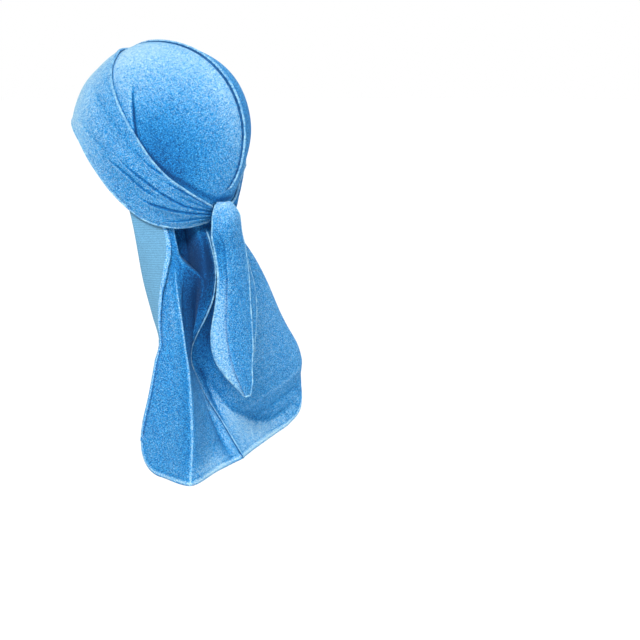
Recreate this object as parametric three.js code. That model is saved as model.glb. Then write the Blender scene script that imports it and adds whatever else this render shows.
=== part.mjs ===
// A velvet durag tied at the nape, in millimetres.
// The wearer faces -Y, +X is the wearer's left and +Z is up.
// The origin is the middle of the head opening, level with the ears.
import * as THREE from "three";

// The head that the cloth is cut to fit
const HEAD_HALF_WIDTH = 77;
const HEAD_HALF_LENGTH = 92;
const HEAD_LEVEL = 33;
const HEAD_RISE = 94;
const HEAD_FALL = 110;

// The cloth and the room left between two layers of it
const CLOTH = 1.2;
const CLEARANCE = 0.35;
const SEAM_OPENING = 1;
const SEAM_WIDTH = 4.2;
const SEAM_HEIGHT = 2.4;
const SEAM_SHOULDER = 0.6;
const SEAM_CREST = [0.3, 0.8, 1];
const CROWN_SEAM_START = 0.26;
const CROWN_SEAM_END = 0.965;
const TAIL_SEAM_START = 1.1;
const HEM_TURN = 3.5;
const LAPEL_WIDTH = 34;
const LAPEL_STAND = 2.2;
const LAPEL_FREE = 1.1;
const BAND_CLEARANCE = 0.6;
const BAND_CLOTH = 1.5;
const BAND_RELIEF = 3.6;
const BAND_PLEATS = 3;
const BAND_GATHER_START = 0.25;
const BAND_HEM_TOP = 0.7;
const BAND_HEM_FADE = 0.3;

// The tail that hangs from the nape
const TAIL_DROP = 268;
const TAIL_SPREAD = 150;
const CORNER_RISE = 28;
const CORNER_REACH = 34;
const FAR_CORNER_RISE = 60;
const FAR_CORNER_REACH = 95;
const CORNER_SPREAD = 1.1;
const CORNER_CURVE = 2.2;
const RIGHT_RAISE = 8;
const RIGHT_RAISE_CURVE = 4;

// The cowl between the left ridge and the seam, by its depth and lip and by shares of the tail
const COWL_DEPTH = 15;
const COWL_LIP = 6;
const COWL_BAND = 0.06;
const COWL_END = 0.46;
const COWL_SEAM_DROP = 0.31;
const COWL_RIDGE_DROP = 0.18;
const COWL_TOP = 0.07;
const COWL_CURVE = 1.4;

// The knot and the two ends of the ties
const KNOT_TURN = 170;
const KNOT_LEVEL = -37;
const KNOT_WIDTH = 27;
const KNOT_HEIGHT = 20;
const KNOT_RISE = 19;
const KNOT_FOLDS = 3;
const KNOT_FOLD_DEPTH = 0.12;
const KNOT_TWIST = 4;
const KNOT_ROUNDNESS = 4;
const KNOT_RINGS = [0.99, 0.92, 0.75, 0.45];
const KNOT_BASE_RING = 0.5;
const TIE_LENGTH = 185;
const TIE_WIDTH = 42;
const TIE_CLOTH = 2.2;
const FAR_TIE_LENGTH = 130;
const FAR_TIE_WIDTH = 36;
const FAR_TIE_CLOTH = 2;
const TIE_BOW_TURN = 135;

// Steps along and across each piece
const CROWN_STEPS = 15;
const TAIL_STEPS = 26;
const PANEL_STEPS = 13;
const BAND_STEPS = 40;
const BAND_ROWS = 12;
const TIE_STEPS = 20;
const TIE_ROWS = 6;
const KNOT_SECTORS = 24;
const FLAP_STEPS = 2;
const FOLD_STEPS = 3;
const EDGE_START = 0.93;
const SIDE_SHARE = 0.3;
const SMALL_STEP = 1e-3;

// Rows of the crown: the seam's place by its swing over the head and its lean to the left, and the
// turn of the lower edge that the row runs to, all in degrees
const CROWN_ROWS = table("along swing lean turn", [
  [0, 20, 0, 6],
  [0.2, 60, 0, 33],
  [0.4, 92, 0, 54],
  [0.6, 128, -1, 72],
  [0.8, 168, -3, 85],
  [0.9, 190, 1, 89.5],
  [0.95, 201, 7, 91.3],
  [1, 214, 18, 93],
]);

// Rise of the crown's lower edge at each turn from the forehead, in degrees
const CROWN_EDGE = table("turn rise", [
  [0, 22],
  [30, 18],
  [55, 8],
  [74, -7],
  [84, -18],
  [93, -27],
]);

// Edges of the band from the forehead to the knot, as rises in degrees
const BAND_EDGES = table("wrap lower upper", [
  [0, 17, 66],
  [0.19, 12, 64],
  [0.35, 3, 58],
  [0.46, -12, 44],
  [0.525, -23, 33],
  [0.58, -31, 22],
  [0.64, -38, 9],
  [0.7, -42, -4],
  [0.765, -44, -14],
  [0.835, -45, -21],
  [0.91, -44, -27],
  [1, -41, -33],
]);

// Width of the lapel as a share of its full width, by the drop below the ear
const LAPEL_ROWS = table("drop width", [
  [0, 0.1],
  [0.04, 1],
  [0.22, 0.98],
  [0.31, 0.8],
  [0.39, 0.55],
  [0.47, 0.33],
  [0.53, 0.1],
]);

// Folds of the tail. Each starts at a share of the way from the seam to the side hem, and its rows
// give the drop, and the shift to the left and to the back, as shares of TAIL_DROP and TAIL_SPREAD.
const SEAM_FOLD = fold("seam", 0, [
  [0, 0, 0],
  [0.07, -0.03, -0.08],
  [0.14, -0.02, -0.04],
  [0.23, -0.03, -0.01],
  [0.34, -0.02, -0.01],
  [0.41, -0.03, -0.05],
  [0.53, -0.05, -0.15],
  [0.6, -0.07, -0.18],
  [0.75, -0.13, -0.12],
  [0.86, -0.17, -0.03],
  [1, -0.21, 0.08],
]);

const LEFT_FOLDS = [
  SEAM_FOLD,
  fold("roll", 0.13, [
    [0, 0, 0],
    [0.07, -0.04, -0.07],
    [0.15, -0.02, -0.03],
    [0.3, -0.01, -0.01],
    [0.37, -0.04, -0.05],
    [0.47, -0.07, -0.1],
    [0.57, -0.08, -0.15],
    [0.66, -0.09, -0.11],
    [0.81, -0.1, -0.01],
    [1, -0.12, 0.12],
  ]),
  fold("valley", 0.28, [
    [0, 0, 0],
    [0.06, -0.05, -0.06],
    [0.14, -0.03, -0.03],
    [0.24, -0.05, -0.01],
    [0.36, -0.1, -0.05],
    [0.46, -0.09, -0.05],
    [0.56, -0.06, -0.06],
    [0.65, -0.02, -0.01],
    [0.81, -0.01, 0.07],
    [1, -0.01, 0.17],
  ]),
  fold("ridge", 0.46, [
    [0, 0, 0],
    [0.06, -0.06, -0.05],
    [0.17, -0.05, -0.01],
    [0.25, -0.02, 0.01],
    [0.36, 0.01, 0.04],
    [0.5, 0.05, 0.1],
    [0.64, 0.1, 0.16],
    [0.81, 0.17, 0.22],
    [1, 0.22, 0.24],
  ]),
  fold("tuck", 0.7, [
    [0, 0, 0],
    [0.063, -0.058, -0.028],
    [0.18, -0.04, 0],
    [0.28, -0.03, 0.02],
    [0.44, -0.01, 0.09],
    [0.65, 0.05, 0.14],
    [0.82, 0.09, 0.12],
    [1, 0.12, 0.1],
  ]),
  fold("side", 1, [
    [0, 0, 0],
    [0.045, -0.036, 0],
    [0.16, -0.03, 0.05],
    [0.31, -0.06, 0.08],
    [0.44, -0.07, 0.14],
    [0.53, -0.05, 0.2],
    [0.61, -0.02, 0.18],
    [0.73, 0, 0.14],
    [0.84, 0.01, 0.09],
    [1.03, 0, 0.01],
  ]),
];

const RIGHT_FOLDS = [
  SEAM_FOLD,
  fold("lobe", 0.2, [
    [0, 0, 0],
    [0.05, 0, -0.07],
    [0.19, -0.02, -0.02],
    [0.34, -0.04, 0.01],
    [0.53, -0.07, -0.02],
    [0.7, -0.11, -0.07],
    [0.83, -0.13, -0.02],
    [1, -0.16, 0.07],
  ]),
  fold("flare", 0.4, [
    [0, 0, 0],
    [0.04, 0.02, -0.06],
    [0.17, -0.01, 0.02],
    [0.32, -0.13, 0.06],
    [0.51, -0.25, 0.07],
    [0.7, -0.32, 0.01],
    [0.83, -0.36, 0.02],
    [1, -0.41, 0.09],
  ]),
  fold("wing", 0.62, [
    [0, 0, 0],
    [0.05, 0.05, -0.03],
    [0.18, 0.01, 0.14],
    [0.25, -0.09, 0.16],
    [0.34, -0.22, 0.16],
    [0.44, -0.34, 0.16],
    [0.55, -0.47, 0.16],
    [0.67, -0.61, 0.16],
    [0.79, -0.65, 0.16],
    [1, -0.57, 0.18],
  ]),
  fold("far_fold", 0.82, [
    [0, 0, 0],
    [0.06, 0.06, 0],
    [0.21, 0, 0.14],
    [0.36, -0.18, 0.2],
    [0.55, -0.39, 0.23],
    [0.72, -0.55, 0.27],
    [0.85, -0.6, 0.28],
    [1, -0.58, 0.29],
  ]),
  fold("far_side", 1, [
    [0, 0, 0],
    [0.03, 0.02, 0],
    [0.16, 0.03, 0.07],
    [0.27, -0.01, 0.14],
    [0.41, -0.15, 0.21],
    [0.58, -0.33, 0.28],
    [0.75, -0.51, 0.34],
    [0.88, -0.57, 0.38],
    [1.03, -0.57, 0.38],
  ]),
];

// Edges of the near tie from the knot down: drop as a share of its length, then each edge's shift
// to the left and to the back of the knot, as shares of its width
const NEAR_TIE = table("drop nearLeft nearBack farLeft farBack bow", [
  [-0.084, 0.1, -0.08, -0.14, -0.02, 0],
  [-0.1, 0.14, 0.06, -0.16, 0.13, 0.04],
  [-0.08, 0.22, 0.2, -0.2, 0.3, 0.1],
  [-0.03, 0.36, 0.18, -0.26, 0.36, 0.2],
  [0.03, 0.43, 0.12, -0.29, 0.34, 0.26],
  [0.095, 0.43, 0, -0.32, 0.3, 0.26],
  [0.17, 0.42, -0.03, -0.42, 0.22, 0.2],
  [0.32, 0.44, -0.04, -0.52, 0.2, 0.14],
  [0.46, 0.48, -0.06, -0.56, 0.18, 0.1],
  [0.62, 0.6, -0.12, -0.6, 0.2, 0.1],
  [0.74, 0.56, -0.08, -0.6, 0.22, 0.08],
  [0.84, 0.36, 0.04, -0.54, 0.24, 0.06],
  [0.92, 0.02, 0.14, -0.52, 0.28, 0.03],
  [1, -0.32, 0.22, -0.46, 0.26, 0],
]);

// Edges of the far tie in the same way
const FAR_TIE = table("drop nearLeft nearBack farLeft farBack bow", [
  [0.1, -0.1, 0, -0.5, 0.02, 0.04],
  [0.22, -0.3, 0, -0.72, 0.04, 0.06],
  [0.38, -0.36, 0, -0.92, 0.04, 0.06],
  [0.62, -0.4, 0, -1.32, 0.02, 0.04],
  [0.86, -0.44, 0, -1.26, 0, 0.04],
  [1, -0.6, 0, -1.08, 0.02, 0.03],
  [1.1, -0.84, 0.02, -0.94, 0.02, 0],
]);

// Share of the way down for each step of the tail, closer together round the cowl
const TAIL_PACE = table("step down", [
  [0, 0],
  [0.15, 0.1],
  [0.6, 0.38],
  [1, 1],
]);

const LEFT = 1;
const RIGHT = -1;
const HALF_TURN = 180;
const VELVET_BLUE = 0x3f8fd2;
const SEAM_BLUE = 0x1f5f9e;

function table(names, rows) {
  const keys = names.split(" ");
  return rows.map((row) => Object.fromEntries(keys.map((key, i) => [key, row[i]])));
}

function fold(name, across, rows) {
  return { name, across, rows: table("drop left back", rows) };
}

function radians(angle) {
  return (angle * Math.PI) / HALF_TURN;
}

function degrees(angle) {
  return (angle * HALF_TURN) / Math.PI;
}

function clamp(value, low, high) {
  return Math.min(high, Math.max(low, value));
}

function smooth(share) {
  const x = clamp(share, 0, 1);
  return x * x * (3 - 2 * x);
}

// A hump that is 0 at both ends of a share and 1 in the middle
function hump(share) {
  return 4 * share * (1 - share);
}

// A smooth value between the rows of a table, read by one column
function read(rows, by, at, key) {
  const last = rows.length - 1;
  if (at <= rows[0][by]) return rows[0][key];
  if (at >= rows[last][by]) return rows[last][key];
  let i = 0;
  while (rows[i + 1][by] < at) i += 1;
  const slope = (k) => {
    const a = Math.max(0, k - 1);
    const b = Math.min(last, k + 1);
    return (rows[b][key] - rows[a][key]) / (rows[b][by] - rows[a][by]);
  };
  const width = rows[i + 1][by] - rows[i][by];
  const u = (at - rows[i][by]) / width;
  const start = slope(i) * width;
  const end = slope(i + 1) * width;
  const rise = rows[i + 1][key] - rows[i][key];
  const square = 3 * rise - 2 * start - end;
  const cube = start + end - 2 * rise;
  return rows[i][key] + start * u + square * u ** 2 + cube * u ** 3;
}

// Directions from the middle of the head: by turn from the forehead to the left and rise, or by
// swing over the head from the forehead to the nape and lean to the left
function direction(turn, rise) {
  const flat = Math.cos(radians(rise));
  return new THREE.Vector3(
    flat * Math.sin(radians(turn)),
    -flat * Math.cos(radians(turn)),
    Math.sin(radians(rise)),
  );
}

function seamDirection(swing, lean) {
  const flat = Math.cos(radians(lean));
  return new THREE.Vector3(
    Math.sin(radians(lean)),
    -flat * Math.cos(radians(swing)),
    flat * Math.sin(radians(swing)),
  );
}

function onHead(way, lift) {
  const height = way.z > 0 ? HEAD_RISE : HEAD_FALL;
  const point = new THREE.Vector3(
    HEAD_HALF_WIDTH * way.x,
    HEAD_HALF_LENGTH * way.y,
    HEAD_LEVEL + height * way.z,
  );
  const out = new THREE.Vector3(way.x / HEAD_HALF_WIDTH, way.y / HEAD_HALF_LENGTH, way.z / height);
  return point.addScaledVector(out.normalize(), lift);
}

function turnOf(way) {
  return degrees(Math.atan2(way.x, -way.y));
}

function riseOf(way) {
  return degrees(Math.asin(clamp(way.z, -1, 1)));
}

function between(a, b, share) {
  const angle = a.angleTo(b);
  const first = Math.sin((1 - share) * angle) / Math.sin(angle);
  const second = Math.sin(share * angle) / Math.sin(angle);
  return a.clone().multiplyScalar(first).addScaledVector(b, second);
}

// The direction to a point of the crown, by the share across from the seam and along the seam
function crownDirection(side, across, along) {
  const value = (key) => read(CROWN_ROWS, "along", along, key);
  const seam = seamDirection(value("swing"), value("lean"));
  const turn = value("turn");
  const edge = direction(side * turn, read(CROWN_EDGE, "turn", turn, "rise"));
  const way = between(seam, edge, across);
  if (side === LEFT) return way;
  const raise = RIGHT_RAISE * hump(across) * along ** RIGHT_RAISE_CURVE;
  return direction(turnOf(way), riseOf(way) + raise);
}

function crownPoint(side, across, along) {
  return onHead(crownDirection(side, across, along), CLOTH / 2);
}

// The shift of the tail's cloth at a share across and a drop, read from the folds beside it
function tailShift(folds, across, drop) {
  const shifts = folds.map((line) => ({
    across: line.across,
    left: read(line.rows, "drop", drop, "left"),
    back: read(line.rows, "drop", drop, "back"),
  }));
  return {
    left: read(shifts, "across", across, "left") * TAIL_SPREAD,
    back: read(shifts, "across", across, "back") * TAIL_SPREAD,
  };
}

// Above the cowl's lip the cloth lies deep under the band
function cowl(across, drop) {
  if (across >= COWL_END) return { deep: 0, up: 0 };
  const size = Math.sin((Math.PI * across) / COWL_END) ** COWL_CURVE;
  const lip = COWL_SEAM_DROP + ((COWL_RIDGE_DROP - COWL_SEAM_DROP) * across) / COWL_END;
  const past = clamp((drop - lip) / COWL_BAND, -1, 1);
  const above = smooth((drop - COWL_TOP) / COWL_TOP) * (1 - smooth((past + 1) / 2));
  return { deep: COWL_DEPTH * size * above, up: COWL_LIP * size * Math.sin(Math.PI * past) };
}

// A point of the tail's middle surface, by the share across and the share of the way down
function tailPoint(side, across, down) {
  const top = crownPoint(side, across, 1);
  const nape = crownPoint(side, 0, 1);
  const reach = side === LEFT ? CORNER_REACH : FAR_CORNER_REACH;
  const fromSide = clamp((1 - across) * TAIL_SPREAD * CORNER_SPREAD, 0, reach);
  const corner = (side === LEFT ? CORNER_RISE : FAR_CORNER_RISE) * (1 - fromSide / reach) ** CORNER_CURVE;
  const hem = nape.z - TAIL_DROP + corner;
  const drop = (down * (top.z - hem)) / TAIL_DROP;
  const shift = tailShift(side === LEFT ? LEFT_FOLDS : RIGHT_FOLDS, across, drop);
  const point = new THREE.Vector3(top.x + shift.left, top.y + shift.back, top.z - drop * TAIL_DROP);
  if (side === LEFT) {
    const dip = cowl(across, drop);
    const away = Math.hypot(point.x, point.y);
    point.x -= (dip.deep * point.x) / away;
    point.y -= (dip.deep * point.y) / away;
    point.z += dip.up;
  }
  return point;
}

// One panel is a crown half and a tail half in one cloth: along runs 0 to 1 over the crown, then
// 1 to 2 down the tail
function panelPoint(side, across, along) {
  return along <= 1 ? crownPoint(side, across, along) : tailPoint(side, across, along - 1);
}

function panelNormal(side, across, along) {
  const a = clamp(across, SMALL_STEP, 1 - SMALL_STEP);
  const b = clamp(along, SMALL_STEP, 2 - SMALL_STEP);
  const acrossWay = panelPoint(side, a + SMALL_STEP, b).sub(panelPoint(side, a - SMALL_STEP, b));
  const alongWay = panelPoint(side, a, b + SMALL_STEP).sub(panelPoint(side, a, b - SMALL_STEP));
  return acrossWay.cross(alongWay).normalize().multiplyScalar(side);
}

// The length of a row from the seam to the side, measured at the side
function rowLength(side, along) {
  const edge = panelPoint(side, 1, along);
  return edge.distanceTo(panelPoint(side, 1 - SIDE_SHARE, along)) / SIDE_SHARE;
}

// The width that is turned back over the outer face: a hem, or the lapel below the left ear
function flapWidth(side, along) {
  if (side === RIGHT || along < 1) return HEM_TURN;
  const down = along - 1;
  const top = crownPoint(side, 1, 1);
  const drop = (top.z - tailPoint(side, 1, down).z) / TAIL_DROP;
  return Math.max(HEM_TURN, LAPEL_WIDTH * read(LAPEL_ROWS, "drop", drop, "width"));
}

// The row of a panel's middle surface: from the seam to the side, round the turned edge, then back
// over the outer face as far as the hem or the lapel reaches
function panelRow(side, along) {
  const length = rowLength(side, along);
  const start = SEAM_OPENING / 2 / length;
  const shares = [0, SEAM_WIDTH / 2 / length, ...steps(0, 1, PANEL_STEPS).slice(1)];
  const row = shares.map((share) => panelPoint(side, start + (1 - start) * share, along));
  const width = flapWidth(side, along);
  const edge = row[row.length - 1];
  const out = panelNormal(side, 1, along);
  const onward = edge.clone().sub(panelPoint(side, EDGE_START, along)).normalize();
  const radius = (CLOTH + CLEARANCE) / 2;
  for (let k = 1; k <= FOLD_STEPS; k += 1) {
    const angle = (Math.PI * k) / (FOLD_STEPS + 1);
    const point = edge.clone().addScaledVector(out, radius * (1 - Math.cos(angle)));
    row.push(point.addScaledVector(onward, radius * Math.sin(angle)));
  }
  const clear = smooth((along - LAPEL_FREE) / (LAPEL_FREE - 1));
  const stand = LAPEL_STAND * clear * smooth((width - HEM_TURN) / LAPEL_WIDTH);
  for (let k = 0; k <= FLAP_STEPS; k += 1) {
    const share = k / FLAP_STEPS;
    const across = 1 - (width * share) / length;
    const lift = CLOTH + CLEARANCE + stand * smooth(share);
    row.push(panelPoint(side, across, along).addScaledVector(panelNormal(side, across, along), lift));
  }
  return row;
}

// Normals of a grid of points, from the ways to the neighbours of each point
function gridNormals(grid) {
  const way = (a, b) => b.clone().sub(a).normalize();
  const bend = (before, here, after) => {
    const sum = new THREE.Vector3();
    if (before) sum.add(way(before, here));
    if (after) sum.add(way(here, after));
    return sum;
  };
  return grid.map((row, i) =>
    row.map((point, j) => {
      const across = bend(row[j - 1], point, row[j + 1]);
      const along = bend(grid[i - 1]?.[j], point, grid[i + 1]?.[j]);
      return across.cross(along).normalize();
    }),
  );
}

// A closed solid from its vertices and faces, turned to face out
function solid(points, faces) {
  let volume = 0;
  for (const [a, b, c] of faces) {
    volume += points[a].dot(points[b].clone().cross(points[c]));
  }
  const geometry = new THREE.BufferGeometry();
  const positions = points.flatMap((point) => [point.x, point.y, point.z]);
  const index = faces.flatMap(([a, b, c]) => (volume > 0 ? [a, b, c] : [a, c, b]));
  geometry.setAttribute("position", new THREE.Float32BufferAttribute(positions, 3));
  geometry.setIndex(index);
  geometry.computeVertexNormals();
  return geometry;
}

// A sheet with two faces and a rim all round
function sheet(outer, inner) {
  const rows = outer.length;
  const across = outer[0].length;
  const points = [...outer.flat(), ...inner.flat()];
  const faces = [];
  const top = (i, j) => i * across + j;
  const under = (i, j) => rows * across + i * across + j;
  const quad = (a, b, c, d) => faces.push([a, b, c], [a, c, d]);
  for (let i = 0; i < rows - 1; i += 1) {
    for (let j = 0; j < across - 1; j += 1) {
      quad(top(i, j), top(i, j + 1), top(i + 1, j + 1), top(i + 1, j));
      quad(under(i, j), under(i + 1, j), under(i + 1, j + 1), under(i, j + 1));
    }
  }
  for (let i = 0; i < rows - 1; i += 1) {
    quad(top(i, 0), top(i + 1, 0), under(i + 1, 0), under(i, 0));
    quad(top(i, across - 1), under(i, across - 1), under(i + 1, across - 1), top(i + 1, across - 1));
  }
  for (let j = 0; j < across - 1; j += 1) {
    quad(top(0, j), under(0, j), under(0, j + 1), top(0, j + 1));
    quad(top(rows - 1, j), top(rows - 1, j + 1), under(rows - 1, j + 1), under(rows - 1, j));
  }
  return solid(points, faces);
}

function thickened(grid, thickness) {
  const normals = gridNormals(grid);
  const shifted = (amount) =>
    grid.map((row, i) => row.map((point, j) => point.clone().addScaledVector(normals[i][j], amount)));
  return sheet(shifted(thickness / 2), shifted(-thickness / 2));
}

const CROWN_ALONGS = steps(0, 1, CROWN_STEPS).slice(0, -1);
const TAIL_ALONGS = steps(0, 1, TAIL_STEPS).map((step) => 1 + read(TAIL_PACE, "step", step, "down"));
const PANEL_ALONGS = [...CROWN_ALONGS, ...TAIL_ALONGS];

function panelGrid(side) {
  const middle = PANEL_ALONGS.map((along) => panelRow(side, along));
  const outward = gridNormals(middle).map((row) => row.map((normal) => normal.multiplyScalar(side)));
  return { middle, outward };
}

const PANEL_GRIDS = new Map([LEFT, RIGHT].map((side) => [side, panelGrid(side)]));

// A point over a panel's face beside the seam, at a width from the seam and a lift from the cloth
function besideSeam(side, along, width, lift) {
  const grid = PANEL_GRIDS.get(side);
  const next = clamp(PANEL_ALONGS.findIndex((value) => value >= along), 1, PANEL_ALONGS.length - 1);
  const share = (along - PANEL_ALONGS[next - 1]) / (PANEL_ALONGS[next] - PANEL_ALONGS[next - 1]);
  const onRow = (i) => {
    const [a, b] = grid.middle[i];
    const away = width / a.distanceTo(b);
    const normal = grid.outward[i][0].clone().lerp(grid.outward[i][1], away);
    return a.clone().lerp(b, away).addScaledVector(normal, CLOTH / 2 + lift);
  };
  return onRow(next - 1).lerp(onRow(next), share);
}

// A seam that stands on the outer face where the two panels meet
function seamStrip(from, to) {
  const alongs = [from, ...PANEL_ALONGS.filter((along) => along > from && along < to), to];
  const half = SEAM_WIDTH / 2;
  const middle = (along, lift) => {
    const left = besideSeam(LEFT, along, 0, lift);
    return left.lerp(besideSeam(RIGHT, along, 0, lift), 0.5);
  };
  const rowOf = (along, heights) => [
    besideSeam(LEFT, along, half, CLEARANCE + SEAM_HEIGHT * heights[0]),
    besideSeam(LEFT, along, half * SEAM_SHOULDER, CLEARANCE + SEAM_HEIGHT * heights[1]),
    middle(along, CLEARANCE + SEAM_HEIGHT * heights[2]),
    besideSeam(RIGHT, along, half * SEAM_SHOULDER, CLEARANCE + SEAM_HEIGHT * heights[1]),
    besideSeam(RIGHT, along, half, CLEARANCE + SEAM_HEIGHT * heights[0]),
  ];
  return sheet(
    alongs.map((along) => rowOf(along, SEAM_CREST)),
    alongs.map((along) => rowOf(along, [0, 0, 0])),
  );
}

function steps(from, to, count) {
  return Array.from({ length: count + 1 }, (_, i) => from + ((to - from) * i) / count);
}

// The band: wrap runs from the knot's left side by way of the forehead to its right side
const DEGREES_PER_MM = degrees(1 / (HEAD_HALF_LENGTH * Math.cos(radians(KNOT_LEVEL))));
const BAND_LEFT_END = KNOT_TURN - (KNOT_WIDTH / 2 + CLEARANCE) * DEGREES_PER_MM;
const BAND_RIGHT_END = 2 * HALF_TURN - KNOT_TURN - (KNOT_WIDTH / 2 + CLEARANCE) * DEGREES_PER_MM;

function bandPoint(wrap, height, outside) {
  const ends = wrap > 0 ? BAND_LEFT_END : BAND_RIGHT_END;
  const lower = read(BAND_EDGES, "wrap", Math.abs(wrap), "lower");
  const upper = read(BAND_EDGES, "wrap", Math.abs(wrap), "upper");
  const way = direction(wrap * ends, lower + (upper - lower) * height);
  const layers = CLOTH + CLEARANCE;
  const hemRoom = layers * smooth((BAND_HEM_TOP - height) / BAND_HEM_FADE);
  const inside = layers + hemRoom + BAND_CLEARANCE;
  const gather = smooth((Math.abs(wrap) - BAND_GATHER_START) / (1 - BAND_GATHER_START));
  const relief = BAND_RELIEF * gather * Math.sin(Math.PI * BAND_PLEATS * height) ** 2;
  return onHead(way, outside ? inside + BAND_CLOTH + relief : inside);
}

function band() {
  const grid = (outside) =>
    steps(1, -1, BAND_STEPS).map((wrap) =>
      steps(0, 1, BAND_ROWS).map((height) => bandPoint(wrap, height, outside)),
    );
  return sheet(grid(true), grid(false));
}

// The knot is a lump that stands on the panels between the ends of the band
const KNOT_BASE = CLOTH + CLEARANCE;

function knotPoint(sector, ring, lift) {
  const angle = (2 * Math.PI * sector) / KNOT_SECTORS;
  const turn = KNOT_TURN + (KNOT_WIDTH / 2) * ring * Math.cos(angle) * DEGREES_PER_MM;
  const rise = KNOT_LEVEL + degrees(((KNOT_HEIGHT / 2) * ring * Math.sin(angle)) / HEAD_FALL);
  return onHead(direction(turn, rise), KNOT_BASE + lift);
}

function knotLift(sector, ring) {
  const angle = (2 * Math.PI * sector) / KNOT_SECTORS;
  const dip = KNOT_FOLD_DEPTH * ring * Math.cos((KNOT_FOLDS * angle + KNOT_TWIST * ring) / 2) ** 2;
  return KNOT_RISE * (1 - dip) * Math.sqrt(1 - ring ** KNOT_ROUNDNESS);
}

function knot() {
  const ringOf = (ring, lifted) =>
    Array.from({ length: KNOT_SECTORS }, (_, i) => knotPoint(i, ring, lifted ? knotLift(i, ring) : 0));
  const base = [ringOf(KNOT_BASE_RING, false), ringOf(1, false)];
  const loops = [...base, ...KNOT_RINGS.map((ring) => ringOf(ring, true))];
  const points = [knotPoint(0, 0, 0), ...loops.flat(), knotPoint(0, 0, KNOT_RISE)];
  const at = (loop, i) => 1 + loop * KNOT_SECTORS + (i % KNOT_SECTORS);
  const last = points.length - 1;
  const faces = [];
  for (let i = 0; i < KNOT_SECTORS; i += 1) {
    faces.push([0, at(0, i), at(0, i + 1)]);
    for (let loop = 0; loop < loops.length - 1; loop += 1) {
      faces.push([at(loop, i), at(loop + 1, i), at(loop + 1, i + 1)]);
      faces.push([at(loop, i), at(loop + 1, i + 1), at(loop, i + 1)]);
    }
    faces.push([at(loops.length - 1, i), last, at(loops.length - 1, i + 1)]);
  }
  return solid(points, faces);
}

// A tie that hangs from the knot, between its near and its far edge
function tie(rows, length, width, thickness) {
  const from = onHead(direction(KNOT_TURN, KNOT_LEVEL), KNOT_BASE + KNOT_RISE / 2);
  const count = rows.length - 1;
  const marks = rows.map((row, i) => ({ ...row, step: i / count }));
  const bowWay = direction(TIE_BOW_TURN, 0);
  const grid = steps(0, 1, TIE_STEPS).map((step) => {
    const value = (key) => read(marks, "step", step, key);
    return steps(0, 1, TIE_ROWS).map((share) => {
      const bow = value("bow") * width * hump(share);
      const left = value("nearLeft") + (value("farLeft") - value("nearLeft")) * share;
      const back = value("nearBack") + (value("farBack") - value("nearBack")) * share;
      const shift = new THREE.Vector3(left * width, back * width, -value("drop") * length);
      return shift.add(from).addScaledVector(bowWay, bow);
    });
  });
  return thickened(grid, thickness);
}

const durag = new THREE.Group();

function add(name, geometry, color) {
  const material = new THREE.MeshStandardMaterial({ color, roughness: 0.85, metalness: 0 });
  const mesh = new THREE.Mesh(geometry, material);
  mesh.name = name;
  durag.add(mesh);
}

add("panel_left", thickened(PANEL_GRIDS.get(LEFT).middle, CLOTH), VELVET_BLUE);
add("panel_right", thickened(PANEL_GRIDS.get(RIGHT).middle, CLOTH), VELVET_BLUE);
add("crown_seam", seamStrip(CROWN_SEAM_START, CROWN_SEAM_END), SEAM_BLUE);
add("tail_seam", seamStrip(TAIL_SEAM_START, 2), SEAM_BLUE);
add("wrap_band", band(), VELVET_BLUE);
add("nape_knot", knot(), VELVET_BLUE);
add("tie_end_near", tie(NEAR_TIE, TIE_LENGTH, TIE_WIDTH, TIE_CLOTH), VELVET_BLUE);
add("tie_end_far", tie(FAR_TIE, FAR_TIE_LENGTH, FAR_TIE_WIDTH, FAR_TIE_CLOTH), VELVET_BLUE);

export default durag;
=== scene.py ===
"""A velvet durag tied at the nape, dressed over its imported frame. Lengths are in metres."""

import math

import bpy
import numpy as np
from bpy.props import FloatProperty, FloatVectorProperty, PointerProperty
from bpy.types import Operator, Panel, PropertyGroup
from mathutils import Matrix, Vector


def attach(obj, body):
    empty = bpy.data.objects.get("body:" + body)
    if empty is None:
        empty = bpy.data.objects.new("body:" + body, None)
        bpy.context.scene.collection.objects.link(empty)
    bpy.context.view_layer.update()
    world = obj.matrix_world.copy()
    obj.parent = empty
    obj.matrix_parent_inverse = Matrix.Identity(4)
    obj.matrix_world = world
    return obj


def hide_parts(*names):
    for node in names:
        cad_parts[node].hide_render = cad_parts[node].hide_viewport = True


bl_info = {
    "name": "Velvet Durag",
    "version": (1, 0, 0),
    "blender": (4, 5, 0),
    "location": "View3D > Sidebar > Durag",
    "description": "Builds a velvet durag with its band, knot, ties and draped tail",
    "category": "Add Mesh",
}

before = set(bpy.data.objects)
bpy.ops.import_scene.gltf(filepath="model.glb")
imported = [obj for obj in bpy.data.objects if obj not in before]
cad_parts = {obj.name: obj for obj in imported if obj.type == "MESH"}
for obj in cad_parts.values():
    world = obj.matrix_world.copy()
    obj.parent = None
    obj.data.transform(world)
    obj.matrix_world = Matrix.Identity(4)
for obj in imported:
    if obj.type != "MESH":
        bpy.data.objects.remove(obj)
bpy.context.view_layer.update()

# The head that the cloth is cut to fit
HEAD_HALF_WIDTH = 0.077
HEAD_HALF_LENGTH = 0.092
HEAD_LEVEL = 0.033
HEAD_RISE = 0.094
HEAD_FALL = 0.110

# The velvet's thickness, the room between two layers, and how far both stand off the head
CLOTH = 0.0012
CLEARANCE = 0.00035
LAYERS = CLOTH + CLEARANCE

# The tail that hangs from the nape, and the curves of its hem: the left corner's, then the right's
TAIL_DROP = 0.268
TAIL_SPREAD = 0.150
CORNER_RISE = 0.036
CORNER_REACH = 0.048
FAR_CORNER_RISE = 0.060
FAR_CORNER_REACH = 0.095
CORNER_SPREAD = 1.1
CORNER_CURVE = 2.2

# How far the right panel's edge is pulled up on the nape, in degrees
RIGHT_RAISE = 8

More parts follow.
